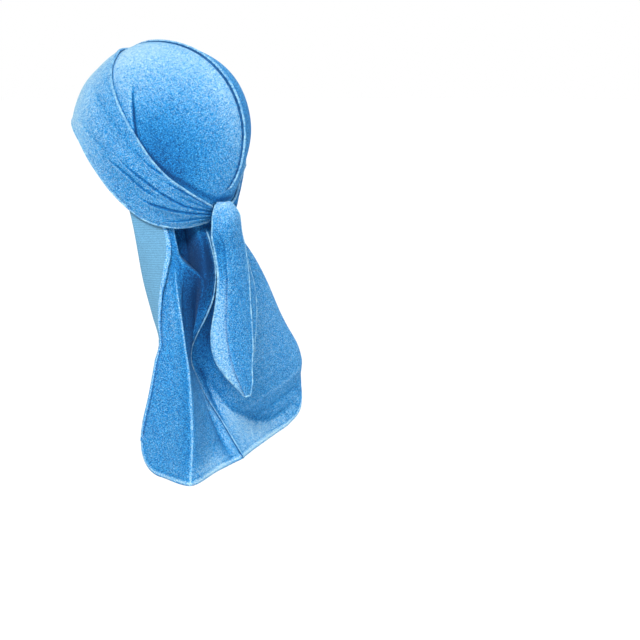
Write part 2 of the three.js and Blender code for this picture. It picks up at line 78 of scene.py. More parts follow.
# The cowl between the left ridge and the seam
COWL_DEPTH = 0.022
COWL_LIP = 0.004
COWL_BAND = 0.022
COWL_START = 0.1
COWL_END = 0.47
COWL_SEAM_DROP = 0.285
COWL_RIDGE_DROP = 0.165
COWL_TOP = 0.04
COWL_SOFT = 0.07

# The lapel's greatest width, and where along the panel its hem lifts free
LAPEL_WIDTH = 0.034
LAPEL_FREE = 1.1

# The knot, at a turn and a rise in degrees, and the two ends of the ties
KNOT_TURN = 170
KNOT_LEVEL = -37
KNOT_WIDTH = 0.027
KNOT_HEIGHT = 0.020
KNOT_RISE = 0.019
TIE_LENGTH = 0.185
TIE_WIDTH = 0.042
FAR_TIE_LENGTH = 0.130
FAR_TIE_WIDTH = 0.036

# The band's ends stop beside the knot
DEGREES_PER_METRE = math.degrees(1 / (HEAD_HALF_LENGTH * math.cos(math.radians(KNOT_LEVEL))))
BAND_LEFT_END = KNOT_TURN - (KNOT_WIDTH / 2 + CLEARANCE) * DEGREES_PER_METRE
BAND_RIGHT_END = 360 - KNOT_TURN - (KNOT_WIDTH / 2 + CLEARANCE) * DEGREES_PER_METRE

# Width of the painted shadow that the band casts on the crown beside its upper edge
BAND_SHADOW_WIDTH = 0.0028

# Where the seams run along the panels, and the tail seam's size beside the crown seam's
CROWN_SEAM_START = 0.242
CROWN_SEAM_END = 0.965
TAIL_SEAM_START = 1.1
TAIL_SEAM_SHARE = 0.5

# Steps along and across each piece
CROWN_STEPS = 170
TAIL_STEPS = 148
PANEL_STEPS = 120
FOLD_STEPS = 6
FLAP_STEPS = 14
HEM_STEPS = 4
BAND_STEPS = 420
BAND_ROWS = 96
TIE_STEPS = 120
TIE_ROWS = 64
ROPE_SIDES = 8

LEFT = 1
RIGHT = -1

# The painted light on one side of a fold turns to the painted shade on the other within this width
TONE_CHANGE = 0.005

# The edge beside a panel's side fold that is painted lighter, partly for its turned pile and partly
# as a painted highlight, and where along the panel it starts
SIDE_HEM = 0.0022
SIDE_HEM_START = {LEFT: 1.6, RIGHT: 1.25}

# Relief fades out over this share of a panel's width beside the seam and beside its free edge
EASE = 0.07

# The side hem narrows over its last stretch, to this share at the bottom corner
FLAP_FADE = 0.02
FLAP_END = 0.12

# How far small waves stand up on the tail, the band and the ties
TAIL_WAVE = 0.0005
BAND_WAVE = 0.00035
TIE_WAVE = 0.0005

# Ribs that the thread's turns leave on a hem and on a seam, as shares of their height
HEM_RIB = 0.16
SEAM_RIB = 0.14

# Width and height of the hems of the band and of the ties
BAND_HEM = (0.0022, 0.0026)
TIE_HEM = (0.0026, 0.0024)


def table(names, rows):
    """Named columns of numbers."""
    return dict(zip(names.split(), np.array(rows, float).T))


def fold(across, rows):
    """A fold of the tail: its place across, and its shifts down its length."""
    return {"across": across, "rows": table("drop left back", rows)}


# Where the head is fuller or flatter, by turn and rise in degrees, and how far it stands out there
HEAD_PLACES = table("turn rise spread stand", [
    (-151, -24, 20, -0.0085),
    (-151, 40, 26, 0.004),
    (28, 76, 16, 0.0018),
])

# The seam's line over the head by swing and lean, and the turn of the panel's edge beside it
CROWN_ROWS = table("along swing lean turn", [
    (0, 20, 0, 6),
    (0.2, 60, 0, 33),
    (0.4, 92, 0, 54),
    (0.6, 128, -1, 72),
    (0.8, 168, -3, 85),
    (0.9, 190, 1, 89.5),
    (0.95, 201, 7, 91.3),
    (1, 214, 18, 93),
])

# The panel's edge round the head, under the band
CROWN_EDGE = table("turn rise", [(0, 22), (30, 18), (55, 8), (74, -7), (84, -18), (93, -27)])

# The rise of the band's two edges in degrees, from the forehead to the knot
BAND_EDGES = table("wrap lower upper", [
    (0, 17, 66), (0.19, 12, 64), (0.35, 3, 58), (0.46, -12, 44), (0.525, -23, 33),
    (0.58, -31, 22), (0.64, -38, 9), (0.7, -42, -4), (0.765, -44, -14), (0.835, -45, -21),
    (0.91, -44, -27), (1, -41, -33),
])

# The lapel's width down the tail, as a share of its greatest
LAPEL_ROWS = table("drop width", [
    (0, 0.1), (0.04, 1), (0.22, 0.98), (0.31, 0.8), (0.39, 0.55), (0.47, 0.33), (0.53, 0.1),
])

# The folds that the tail falls in, from the seam out to the free edge
SEAM_FOLD = fold(0, [
    (0, 0, 0), (0.07, -0.03, -0.08), (0.14, -0.02, -0.04), (0.23, -0.03, -0.01),
    (0.34, -0.02, -0.02), (0.41, 0, -0.06), (0.53, 0.02, -0.17), (0.6, 0, -0.2),
    (0.66, -0.04, -0.19), (0.75, -0.09, -0.15), (0.86, -0.15, -0.05), (1, -0.21, 0.08),
])

LEFT_FOLDS = [
    SEAM_FOLD,
    fold(0.13, [
        (0, 0, 0), (0.07, -0.04, -0.07), (0.15, -0.02, -0.03), (0.3, -0.01, -0.01),
        (0.37, -0.025, -0.05), (0.47, -0.025, -0.1), (0.57, -0.02, -0.15), (0.66, -0.06, -0.11),
        (0.81, -0.1, -0.01), (1, -0.12, 0.12),
    ]),
    fold(0.28, [
        (0, 0, 0), (0.06, -0.05, -0.06), (0.14, -0.03, -0.03), (0.24, -0.05, -0.01),
        (0.36, -0.1, -0.05), (0.46, -0.09, -0.05), (0.56, -0.06, -0.06), (0.65, -0.02, -0.01),
        (0.81, -0.01, 0.07), (1, -0.01, 0.17),
    ]),
    fold(0.46, [
        (0, 0, 0), (0.06, -0.06, -0.05), (0.17, -0.05, -0.01), (0.25, -0.02, 0.01),
        (0.36, 0.01, 0.04), (0.5, 0.05, 0.1), (0.64, 0.1, 0.16), (0.81, 0.17, 0.22),
        (1, 0.22, 0.24),
    ]),
    fold(0.7, [
        (0, 0, 0), (0.063, -0.058, -0.028), (0.18, -0.04, 0), (0.28, -0.03, 0.02),
        (0.44, -0.01, 0.09), (0.65, 0.05, 0.14), (0.82, 0.09, 0.12), (1, 0.12, 0.1),
    ]),
    fold(1, [
        (0, 0, 0), (0.045, -0.036, 0), (0.16, -0.03, 0.05), (0.31, -0.06, 0.08),
        (0.44, -0.07, 0.14), (0.53, -0.05, 0.2), (0.61, -0.02, 0.18), (0.73, 0, 0.14),
        (0.84, 0.01, 0.09), (1.03, 0, 0.01),
    ]),
]

RIGHT_FOLDS = [
    SEAM_FOLD,
    fold(0.2, [
        (0, 0, 0), (0.05, 0, -0.07), (0.19, -0.02, -0.02), (0.34, -0.04, 0.01),
        (0.53, -0.07, -0.02), (0.7, -0.11, -0.07), (0.83, -0.13, -0.02), (1, -0.16, 0.07),
    ]),
    fold(0.4, [
        (0, 0, 0), (0.04, 0.02, -0.06), (0.17, -0.01, 0.02), (0.32, -0.13, 0.06),
        (0.51, -0.25, 0.07), (0.7, -0.32, 0.01), (0.83, -0.36, 0.02), (1, -0.41, 0.09),
    ]),
    fold(0.62, [
        (0, 0, 0), (0.05, 0.05, -0.03), (0.18, 0.01, 0.14), (0.25, -0.09, 0.16),
        (0.34, -0.22, 0.16), (0.44, -0.34, 0.16), (0.55, -0.47, 0.16), (0.67, -0.61, 0.16),
        (0.79, -0.65, 0.16), (1, -0.57, 0.18),
    ]),
    fold(0.82, [
        (0, 0, 0), (0.06, 0.06, 0), (0.21, 0, 0.14), (0.36, -0.18, 0.175), (0.55, -0.39, 0.215),
        (0.72, -0.55, 0.27), (0.85, -0.6, 0.3), (1, -0.58, 0.315),
    ]),
    fold(1, [
        (0, 0, 0), (0.03, 0.02, 0), (0.16, 0.03, 0.07), (0.27, -0.01, 0.115),
        (0.41, -0.15, 0.15), (0.58, -0.33, 0.235), (0.75, -0.51, 0.365), (0.88, -0.57, 0.41),
        (1.03, -0.57, 0.41),
    ]),
]

# The ties' two edges down their length, and how far the cloth bows between them
NEAR_TIE = table("drop nearLeft nearBack farLeft farBack bow", [
    (-0.064, 0.12, -0.16, -0.1, -0.04, 0),
    (-0.082, 0.18, -0.1, -0.08, 0.06, 0.12),
    (-0.066, 0.32, -0.06, -0.1, 0.14, 0.22),
    (-0.02, 0.46, -0.04, -0.18, 0.25, 0.28),
    (0.03, 0.52, -0.02, -0.22, 0.26, 0.3),
    (0.095, 0.48, -0.06, -0.28, 0.26, 0.28),
    (0.17, 0.42, -0.04, -0.42, 0.25, 0.2),
    (0.32, 0.38, 0.02, -0.55, 0.26, 0.14),
    (0.46, 0.42, 0, -0.6, 0.26, 0.1),
    (0.62, 0.54, -0.06, -0.64, 0.28, 0.1),
    (0.74, 0.5, -0.02, -0.64, 0.3, 0.08),
    (0.84, 0.3, 0.1, -0.58, 0.3, 0.06),
    (0.92, 0, 0.2, -0.56, 0.32, 0.03),
    (1, -0.36, 0.28, -0.5, 0.3, 0),
])

FAR_TIE = table("drop nearLeft nearBack farLeft farBack bow", [
    (-0.02, -0.02, -0.1, -0.3, -0.08, 0),
    (0.1, -0.1, -0.02, -0.48, 0.02, 0.06),
    (0.22, -0.3, 0.04, -0.72, 0.08, 0.08),
    (0.38, -0.36, 0.08, -0.9, 0.13, 0.1),
    (0.62, -0.4, 0.12, -1.2, 0.17, 0.12),
    (0.86, -0.44, 0.14, -1.16, 0.22, 0.1),
    (1, -0.6, 0.16, -1.0, 0.26, 0.06),
    (1.1, -0.84, 0.2, -0.94, 0.28, 0),
])

# How closely the steps lie along and across the panels
TAIL_PACE = table("step down", [(0, 0), (0.15, 0.1), (0.6, 0.38), (1, 1)])
CROWN_PACE = table("step along", [(0, 0), (0.23, 0.44), (0.59, 0.7), (1, 1)])
LEFT_PACE = table("step across", [(0, 0), (0.3, 0.42), (0.55, 0.54), (0.78, 0.72), (1, 1)])
RIGHT_PACE = table("step across", [(0, 0), (0.14, 0.08), (1, 1)])

# Creases of the band: how deep each is, and the way it runs, by the wrap and by the band's height
CREASES = [
    {"deep": 0.8, "line": [(0.5, 0.28), (0.568, 0.37), (0.623, 0.44), (0.674, 0.47), (0.74, 0.5)]},
    {"deep": 1.0, "line": [(0.56, 0.46), (0.633, 0.53), (0.697, 0.61), (0.773, 0.63), (0.849, 0.61),
                           (0.93, 0.64), (1, 0.66)]},
    {"deep": 0.8, "line": [(0.63, 0.78), (0.711, 0.88), (0.762, 0.97), (0.8, 1)]},
    {"deep": 0.9, "line": [(0.72, 0.84), (0.792, 0.9), (0.866, 0.93), (0.95, 0.94), (1, 0.94)]},
    {"deep": 1.1, "line": [(0.62, 0.27), (0.699, 0.33), (0.766, 0.4), (0.876, 0.48), (1, 0.55)]},
    {"deep": 0.7, "line": [(0.74, 0.1), (0.82, 0.18), (0.9, 0.28), (1, 0.38)]},
    {"deep": 0.6, "line": [(0.78, 0.74), (0.88, 0.78), (1, 0.82)]},
    {"deep": 0.6, "line": [(0.86, 0.08), (0.93, 0.14), (1, 0.2)]},
    {"deep": 0.2, "line": [(0.3, 0.12), (0.42, 0.22), (0.508, 0.32), (0.568, 0.37)]},
    {"deep": 0.18, "line": [(0.3, 0.5), (0.42, 0.62), (0.52, 0.68), (0.62, 0.74), (0.7, 0.78)]},
]

# Crisp folds of the tail. Each line runs through places across and along a panel, with the height
# of the fold there in millimetres. It has a width before and after the line, and the cloth is
# painted lighter or darker by a tone before and after it, out to a reach: a painted highlight along
# a ridge and painted shade in the valley beside it.
TAIL_FOLDS = [
    {"side": LEFT, "widths": (0.010, 0.012), "sharp": 1.2, "painted_tones": (-0.2, -0.3), "reach": 0.012,
     "line": [(0.5, 1.12, 0), (0.49, 1.17, 1), (0.49, 1.25, 2), (0.49, 1.35, 2.5),
              (0.49, 1.5, 2.5), (0.49, 1.65, 2.5), (0.47, 1.81, 2.5), (0.47, 2.0, 2)]},
    {"side": LEFT, "widths": (0.0025, 0.0035), "sharp": 1.1, "painted_tones": (0.5, 0.5), "reach": 0.0008,
     "line": [(0.5, 1.2, 0), (0.49, 1.3, 2), (0.49, 1.5, 2.8), (0.48, 1.65, 2.8),
              (0.47, 1.81, 2.6), (0.47, 2.0, 2)]},
    {"side": LEFT, "widths": (0.012, 0.006), "sharp": 1.5, "painted_tones": (0, 0), "reach": 0.01,
     "line": [(0.4, 1.2, 0), (0.4, 1.3, -4), (0.41, 1.42, -6), (0.42, 1.52, -7),
              (0.38, 1.62, -3), (0.33, 1.7, 0)]},
    {"side": LEFT, "widths": (0.007, 0.016), "sharp": 1.5, "painted_tones": (0.3, -0.5), "reach": 0.012,
     "line": [(0.14, 1.62, 0), (0.12, 1.72, -2), (0.1, 1.82, -5), (0.09, 1.9, -6),
              (0.09, 1.96, -3), (0.1, 2.0, -1)]},
    {"side": RIGHT, "widths": (0.004, 0.003), "sharp": 2, "painted_tones": (-0.8, -0.8), "reach": 0.0035,
     "line": [(0.035, 1.6, 0), (0.04, 1.66, -3), (0.045, 1.75, -3.4), (0.04, 1.84, -2.4),
              (0.03, 1.88, 0)]},
    {"side": RIGHT, "widths": (0.034, 0.009), "sharp": 1.4, "painted_tones": (0.95, -0.15), "reach": 0.03,
     "line": [(0.02, 1.63, 0), (0.08, 1.7, -4), (0.15, 1.77, -8), (0.22, 1.82, -10),
              (0.31, 1.87, -11), (0.37, 1.91, -11), (0.45, 1.935, -8), (0.53, 1.93, -5),
              (0.62, 1.9, 0)]},
    {"side": RIGHT, "widths": (0.03, 0.04), "sharp": 2, "painted_tones": (0, 0), "reach": 0.01,
     "line": [(0.32, 1.56, 0), (0.36, 1.64, 5), (0.41, 1.72, 8), (0.46, 1.8, 7),
              (0.5, 1.86, 0)]},
]

# Where the panels are painted lighter or darker as painted light and shade, such as the dark hollow
# under the band, the shaded pocket by the seam and the lit top of the crown: a place across and
# along, and how far it reaches
PAINTED_LIGHT_PLACES = table("side across along wide tall tone", [
    (LEFT, 0.2, 1.16, 0.24, 0.1, -0.9),
    (LEFT, 0.28, 1.38, 0.2, 0.2, -1.5),
    (LEFT, 0.14, 1.3, 0.12, 0.14, -0.8),
    (LEFT, 0.52, 1.38, 0.1, 0.16, 0.6),
    (LEFT, 0.3, 1.98, 0.2, 0.05, 0.8),
    (LEFT, 0.35, 0.42, 0.4, 0.2, 1.5),
    (LEFT, 0.06, 0.7, 0.16, 0.17, 0.7),
    (LEFT, 0.06, 1.2, 0.09, 0.1, -1.2),
    (LEFT, 0.68, 0.8, 0.25, 0.15, -0.8),
    (RIGHT, 0.2, 0.3, 0.3, 0.3, 0.7),
    (RIGHT, 0.08, 0.76, 0.25, 0.16, -0.4),
    (RIGHT, 0.3, 2.0, 0.45, 0.045, 0.3),
    (RIGHT, 0.08, 1.5, 0.1, 0.14, -0.9),
    (RIGHT, 0.1, 1.2, 0.1, 0.14, -0.8),
    (RIGHT, 0.04, 1.34, 0.09, 0.12, -1.1),
    (RIGHT, 0.45, 1.5, 0.3, 0.3, 0.2),
])

# The pleat in the crown above the left ear, by rise and turn in degrees
CROWN_PLEAT = table("rise turn", [(0, 104), (8, 103), (19, 101), (26, 99.5), (31, 98.5), (38, 97)])


def smooth(share):
    """From 0 to 1, level at both ends."""
    x = np.clip(share, 0, 1)
    return x * x * (3 - 2 * x)


def hump(share):
    """0 at both ends of a share and 1 in the middle."""
    return 4 * share * (1 - share)


def slopes(place, values):
    """The slope at each row of a table, from the rows beside it."""
    slope = np.empty_like(values)
    shape = (-1,) + (1,) * (values.ndim - 1)
    slope[1:-1] = (values[2:] - values[:-2]) / (place[2:] - place[:-2]).reshape(shape)
    slope[0] = (values[1] - values[0]) / (place[1] - place[0])
    slope[-1] = (values[-1] - values[-2]) / (place[-1] - place[-2])
    return slope


def cubic(here, there, start, end, share):
    """Between two values, with a slope at each."""
    rise = there - here
    square = 3 * rise - 2 * start - end
    cube = start + end - 2 * rise
    return here + start * share + square * share**2 + cube * share**3


def read(rows, by, at, key):
    """A smooth value between the rows of a table, read by one column."""
    place, values = rows[by], rows[key]
    at = np.clip(at, place.min(), place.max())
    i = np.clip(np.searchsorted(place, at) - 1, 0, len(place) - 2)
    width = place[i + 1] - place[i]
    slope = slopes(place, values)
    share = (at - place[i]) / width
    return cubic(values[i], values[i + 1], slope[i] * width, slope[i + 1] * width, share)


def unit(vectors):
    length = np.linalg.norm(vectors, axis=-1, keepdims=True)
    return vectors / np.maximum(length, 1e-12)


def vector(x, y, z):
    return np.stack(np.broadcast_arrays(x, y, z), axis=-1)


def direction(turn, rise):
    """From the middle of the head, by turn from the forehead to the left and by rise."""
    turn, rise = np.radians(turn), np.radians(rise)
    flat = np.cos(rise)
    return vector(flat * np.sin(turn), -flat * np.cos(turn), np.sin(rise))


def seam_direction(swing, lean):
    """By swing over the head from the forehead to the nape, and by lean to the left."""
    swing, lean = np.radians(swing), np.radians(lean)
    flat = np.cos(lean)
    return vector(np.sin(lean), -flat * np.cos(swing), flat * np.sin(swing))


def turn_of(way):
    return np.degrees(np.arctan2(way[..., 0], -way[..., 1]))


def rise_of(way):
    return np.degrees(np.arcsin(np.clip(way[..., 2], -1, 1)))


def head_swell(way):
    """How far the head stands out past its plain rounded shape."""
    total = 0
    for turn, rise, spread, stand in zip(*HEAD_PLACES.values()):
        towards = np.clip((way * direction(turn, rise)).sum(-1), -1, 1)
        total = total + stand * np.exp(-(np.degrees(np.arccos(towards)) / spread) ** 2)
    return total


def on_head(way, lift):
    """The point of the head in a direction, lifted off it."""
    lift = lift + head_swell(way)
    height = np.where(way[..., 2] > 0, HEAD_RISE, HEAD_FALL)
    x, y, z = way[..., 0], way[..., 1], way[..., 2]
    point = vector(HEAD_HALF_WIDTH * x, HEAD_HALF_LENGTH * y, HEAD_LEVEL + height * z)
    out = unit(vector(x / HEAD_HALF_WIDTH, y / HEAD_HALF_LENGTH, z / height))
    return point + out * lift[..., None]


def between(a, b, share):
    """A direction at a share of the way from one to another, along the arc between them."""
    angle = np.arccos(np.clip((a * b).sum(-1), -1, 1))
    first = np.sin((1 - share) * angle) / np.sin(angle)
    second = np.sin(share * angle) / np.sin(angle)
    return a * first[..., None] + b * second[..., None]


def crown_direction(side, across, along):
    """Across a crown half from the seam to its edge, along it from the forehead to the nape."""
    value = {key: read(CROWN_ROWS, "along", along, key) for key in ("swing", "lean", "turn")}
    seam = seam_direction(value["swing"], value["lean"])
    edge = direction(side * value["turn"], read(CROWN_EDGE, "turn", value["turn"], "rise"))
    way = between(seam, edge, across)
    if side == LEFT:
        return way
    raised = RIGHT_RAISE * hump(across) * along**4
    return direction(turn_of(way), rise_of(way) + raised)


def crown_point(side, across, along, cloth):
    way = crown_direction(side, across, along)
    return on_head(way, np.full(way.shape[:-1], cloth / 2))


def tail_shift(folds, across, drop, key):
    """The shift of the tail's cloth, read across the folds beside it."""
    place = np.array([line["across"] for line in folds], float)
    values = np.stack([read(line["rows"], "drop", drop, key) for line in folds])
    slope = slopes(place, values)
    i = np.clip(np.searchsorted(place, across) - 1, 0, len(place) - 2)
    width = place[i + 1] - place[i]
    share = (np.clip(across, 0, 1) - place[i]) / width
    picks = ((values, i), (values, i + 1), (slope, i), (slope, i + 1))
    here, there, start, end = (np.take_along_axis(rows, k[None], axis=0)[0] for rows, k in picks)
    return cubic(here, there, start * width, end * width, share)


def cowl(across, drop):
    """How deep the cloth lies: far in above the cowl's lip, and a little out at the lip."""
    share = np.clip(across / COWL_END, 0, 1)
    size = smooth((across - COWL_START) / COWL_SOFT) * smooth((COWL_END - across) / COWL_SOFT)
    lip = COWL_SEAM_DROP + (COWL_RIDGE_DROP - COWL_SEAM_DROP) * share
    past = (drop - lip) / COWL_BAND
    above = smooth((drop - COWL_TOP) / COWL_TOP) * (1 - smooth((past + 1) / 2))
    swell = np.exp(-np.maximum(past, 0) / 3) * smooth((past + 1) / 2)
    return size * (COWL_DEPTH * above - COWL_LIP * swell)


def tail_point(side, across, down, cloth):
    """A point of the tail's middle surface, by the share across and the share of the way down."""
    top = crown_point(side, across, np.ones_like(across), cloth)
    nape = crown_point(side, np.zeros(1), np.ones(1), cloth)[0]
    reach = CORNER_REACH if side == LEFT else FAR_CORNER_REACH
    rise = CORNER_RISE if side == LEFT else FAR_CORNER_RISE
    from_side = np.clip((1 - across) * TAIL_SPREAD * CORNER_SPREAD, 0, reach)
    corner = 1 - from_side / reach
    if side == LEFT:
        bend = 1 - np.sqrt(1 - corner**2)
    else:
        bend = corner**CORNER_CURVE
    hem = nape[2] - TAIL_DROP + rise * bend
    drop = down * (top[..., 2] - hem) / TAIL_DROP
    folds = LEFT_FOLDS if side == LEFT else RIGHT_FOLDS
    left = tail_shift(folds, across, drop, "left") * TAIL_SPREAD
    back = tail_shift(folds, across, drop, "back") * TAIL_SPREAD
    point = top + vector(left, back, -drop * TAIL_DROP)
    if side == LEFT:
        away = np.hypot(point[..., 0], point[..., 1])
        point[..., :2] -= point[..., :2] * (cowl(across, drop) / away)[..., None]
    return point


def panel_point(side, across, along, cloth):
    """A panel is a crown half, along 0 to 1, and a tail half, along 1 to 2, in one cloth."""
    across, along = np.broadcast_arrays(np.asarray(across, float), np.asarray(along, float))
    crown = crown_point(side, across, np.clip(along, 0, 1), cloth)
    tail = tail_point(side, across, np.clip(along - 1, 0, 1), cloth)
    return np.where((along <= 1)[..., None], crown, tail)


def panel_normal(side, across, along, cloth):
    """Outwards from a panel, from its points just beside each place."""
    small = 1e-3
    a = np.clip(across, small, 1 - small)
    b = np.clip(along, small, 2 - small)
    across_way = panel_point(side, a + small, b, cloth) - panel_point(side, a - small, b, cloth)
    along_way = panel_point(side, a, b + small, cloth) - panel_point(side, a, b - small, cloth)
    return unit(np.cross(across_way, along_way)) * side


def grid_normals(grid):
    """Normals of a grid of points, from the ways to the neighbours of each point."""
    across = np.zeros_like(grid)
    along = np.zeros_like(grid)
    step = unit(np.diff(grid, axis=1))
    across[:, 1:] += step
    across[:, :-1] += step
    step = unit(np.diff(grid, axis=0))
    along[1:] += step
    along[:-1] += step
    return unit(np.cross(across, along))


def run_length(grid, axis):
    """The length run along one axis of a grid, from its start."""
    step = np.linalg.norm(np.diff(grid, axis=axis), axis=-1)
    total = np.cumsum(step, axis=axis)
    pad = [(1, 0) if k == axis else (0, 0) for k in range(2)]
    return np.pad(total, pad)


def ripple(x, y, seed):
    """A soft wrinkle between -1 and 1, from a few crossing waves."""
    source = np.random.default_rng(seed)
    total = 0
    for k in range(5):
        angle, phase = source.uniform(-0.5, 0.5), source.uniform(0, 2 * np.pi)
        rate = source.uniform(0.6, 1.6)
        total = total + np.sin(rate * (x * np.cos(angle) + y * np.sin(angle)) + phase)
    return total / 5


# Meshes


# The turn of the cloth that counts as a crisp fold, and how strongly each piece is painted lighter
# on its crests, as a painted highlight, and darker in its creases, as painted shade
CREST_SLOPE = 0.22
CREST_PANEL = 0.6
CREST_BAND = 0.5
CREST_TIE = 0.3


def clear_selection():
    for item in bpy.context.selected_objects:
        item.select_set(False)


def crests(grid, out):
    """How sharply the cloth turns at each point: 1 on a crisp fold, -1 in a crease."""
    total = 0
    for axis in (0, 1):
        places = np.arange(grid.shape[axis])
        before = grid.take(np.maximum(places - 1, 0), axis=axis)
        after = grid.take(np.minimum(places + 1, places[-1]), axis=axis)
        rise = ((grid - (before + after) / 2) * out).sum(-1)
        total = total + rise / np.maximum(np.linalg.norm(after - before, axis=-1) / 2, 1e-5)
    return np.clip(total / CREST_SLOPE, -1, 1)


def quads(*corners):
    """Faces from the grids of their four corners."""
    return np.stack([corner.ravel() for corner in corners], axis=1)


def sheet_object(name, outer, inner, uv, shade, materials, painted_light=0.0, hem=0.0, crest=1.0):
    """A closed sheet from the grids of its two faces. shade gives each quad's material on the outer
    face, on the inner face and on the rim; the value after the materials is the painted light and
    shade laid on the pile, and hem how near each point is to a hem's edge, which is painted
    lighter. The crests are painted lighter, as a painted highlight, and the creases darker, as
    painted shade, by crest."""
    count = outer.shape[0] * outer.shape[1]
    top = np.arange(count).reshape(outer.shape[:2])
    under = top + count
    faces = [
        quads(top[:-1, :-1], top[:-1, 1:], top[1:, 1:], top[1:, :-1]),
        quads(under[1:, :-1], under[1:, 1:], under[:-1, 1:], under[:-1, :-1]),
    ]
    for edge, other in ((top[:, 0], under[:, 0]), (under[:, -1], top[:, -1]),
                        (under[0], top[0]), (top[-1], under[-1])):
        faces.append(quads(edge[:-1], edge[1:], other[1:], other[:-1]))
    shades = [shade["outer"].ravel(), shade["inner"].ravel()]
    shades += [np.full(len(rim), shade["rim"]) for rim in faces[2:]]
    faces = np.concatenate(faces)
    points = np.concatenate([outer.reshape(-1, 3), inner.reshape(-1, 3)])
    a, b, c, d = (points[faces[:, k]] for k in range(4))
    volume = (a * np.cross(b, c)).sum() + (a * np.cross(c, d)).sum()
    if volume < 0:
        faces = faces[:, ::-1]
    out = unit(outer - inner)
    # The painted light and shade: crests lighter, creases darker, and the painted light passed in
    tone = (crest * crests(outer, out) + painted_light, crest * crests(inner, -out))
    made = mesh_object(name, points, faces.tolist(), materials,
                       {key: np.concatenate([grid.reshape(-1, 2)] * 2) for key, grid in uv.items()})
    made.data.polygons.foreach_set("material_index", np.concatenate(shades).astype(np.int32))
    values = {"tone": np.stack(tone), "hem": np.broadcast_to(hem, (2, *top.shape))}
    for key, numbers in values.items():
        layer = made.data.attributes.new(key, "FLOAT", "POINT")
        layer.data.foreach_set("value", numbers.ravel().astype(np.float32))
    return made


def add_object(name, data):
    made = bpy.data.objects.new(name, data)
    bpy.context.scene.collection.objects.link(made)
    return made


def mesh_object(name, points, faces, materials, uv):
    """A smooth mesh, with a UV map for each grid of places on the cloth or the thread."""
    mesh = bpy.data.meshes.new(name)
    mesh.from_pydata(points.tolist(), [], faces)
    loops = np.empty(len(mesh.loops), np.int32)
    mesh.loops.foreach_get("vertex_index", loops)
    for key, values in uv.items():
        layer = mesh.uv_layers.new(name=key)
        layer.data.foreach_set("uv", values[loops].astype(np.float32).ravel())
    for item in materials:
        mesh.materials.append(item)
    mesh.polygons.foreach_set("use_smooth", np.ones(len(mesh.polygons), bool))
    mesh.validate()
    mesh.update()
    return add_object(name, mesh)


def one_shade(outer_face, outer, inner, rim):
    """The same material all over each face of a sheet, and on its rim."""
    rows, columns = outer_face.shape[:2]
    return {
        "outer": np.full((rows - 1, columns - 1), outer),
        "inner": np.full((rows - 1, columns - 1), inner),
        "rim": rim,
    }


def path_run(path):
    """The length run along a path, from its start."""
    return np.concatenate([[0], np.cumsum(np.linalg.norm(np.diff(path, axis=0), axis=1))])


def at_run(path, run, at):
    """A path's values at lengths along it."""
    return np.stack([np.interp(at, run, path[:, k]) for k in range(3)], axis=1)


def ring_walls(rings):
    """Faces between closed rings of points, given by a grid of their numbers."""
    after = np.roll(rings, -1, axis=1)
    return quads(rings[:-1], rings[1:], after[1:], after[:-1]).tolist()


def fan(middle, ring):
    """Triangles from one point to a closed ring of points."""
    return [[middle, a, b] for a, b in zip(ring.tolist(), np.roll(ring, -1).tolist())]


def rope_object(name, path, out, wide, high, pitch, thread):
    """An overlocked edge: a flat tube along a path, ribbed by the turns of its thread."""
    run = path_run(path)
    count = max(8, int(run[-1] / pitch * 4))
    at = np.linspace(0, run[-1], count)
    centre = at_run(path, run, at)
    up = unit(at_run(out, run, at))
    way = unit(np.gradient(centre, axis=0))
    side = unit(np.cross(way, up))
    up = np.cross(side, way)
    angle = np.linspace(0, 2 * np.pi, ROPE_SIDES, endpoint=False)
    rib = 1 + HEM_RIB * np.sin(2 * np.pi * at[:, None] / pitch + angle)
    rounded = np.sqrt(np.maximum(0, np.minimum(at, run[-1] - at)) / wide)
    rib = rib * np.minimum(1, rounded + 0.15)[:, None]
    points = centre[:, None] + side[:, None] * (wide / 2 * rib * np.cos(angle))[..., None]
    points = points + up[:, None] * (high / 2 * rib * np.sin(angle))[..., None]
    points = np.concatenate([points.reshape(-1, 3), centre[:1], centre[-1:]])
    rings = np.arange(count * ROPE_SIDES).reshape(count, ROPE_SIDES)
    faces = ring_walls(rings) + fan(rings.size, rings[0]) + fan(rings.size + 1, rings[-1][::-1])
    along = np.append(np.repeat(at, ROPE_SIDES), [0, run[-1]])
    round_it = np.append(np.tile(angle, count) / (2 * np.pi), [0, 0])
    made = mesh_object(name, points, faces, [thread], {"thread": np.stack([along, round_it], 1)})
    close_mesh(made)
    return made


def close_mesh(item, merge=0.0):
    """Merges a closed mesh's points that lie within a distance, and turns its faces outwards."""
    clear_selection()
    bpy.context.view_layer.objects.active = item
    item.select_set(True)
    bpy.ops.object.mode_set(mode="EDIT")
    bpy.ops.mesh.select_all(action="SELECT")
    if merge:
        bpy.ops.mesh.remove_doubles(threshold=merge)
    bpy.ops.mesh.normals_make_consistent(inside=False)
    bpy.ops.object.mode_set(mode="OBJECT")
    item.select_set(False)


# Materials


# Tufts in a metre, how strongly they and the brushed patches show, and the pile's sheen
TUFTS = 2200
SPECKLE = 0.9
BRUSHED = 0.12
SHEEN = 0.12

# How strongly the painted light and shade of crests, creases and shaded places show on the pile,
# and how much lighter a hem is painted, partly for its turned pile and partly as a painted
# highlight
PAINTED_LIGHT_SCALE = 0.34
HEM_PILE_AND_HIGHLIGHT = 0.2

# How light the pile is in the cloth, and on a hem, where it is lighter partly for its turned pile
# and partly as a painted highlight, without folds
CLOTH_LIFT = 0.43
HEM_LIFT = 0.6


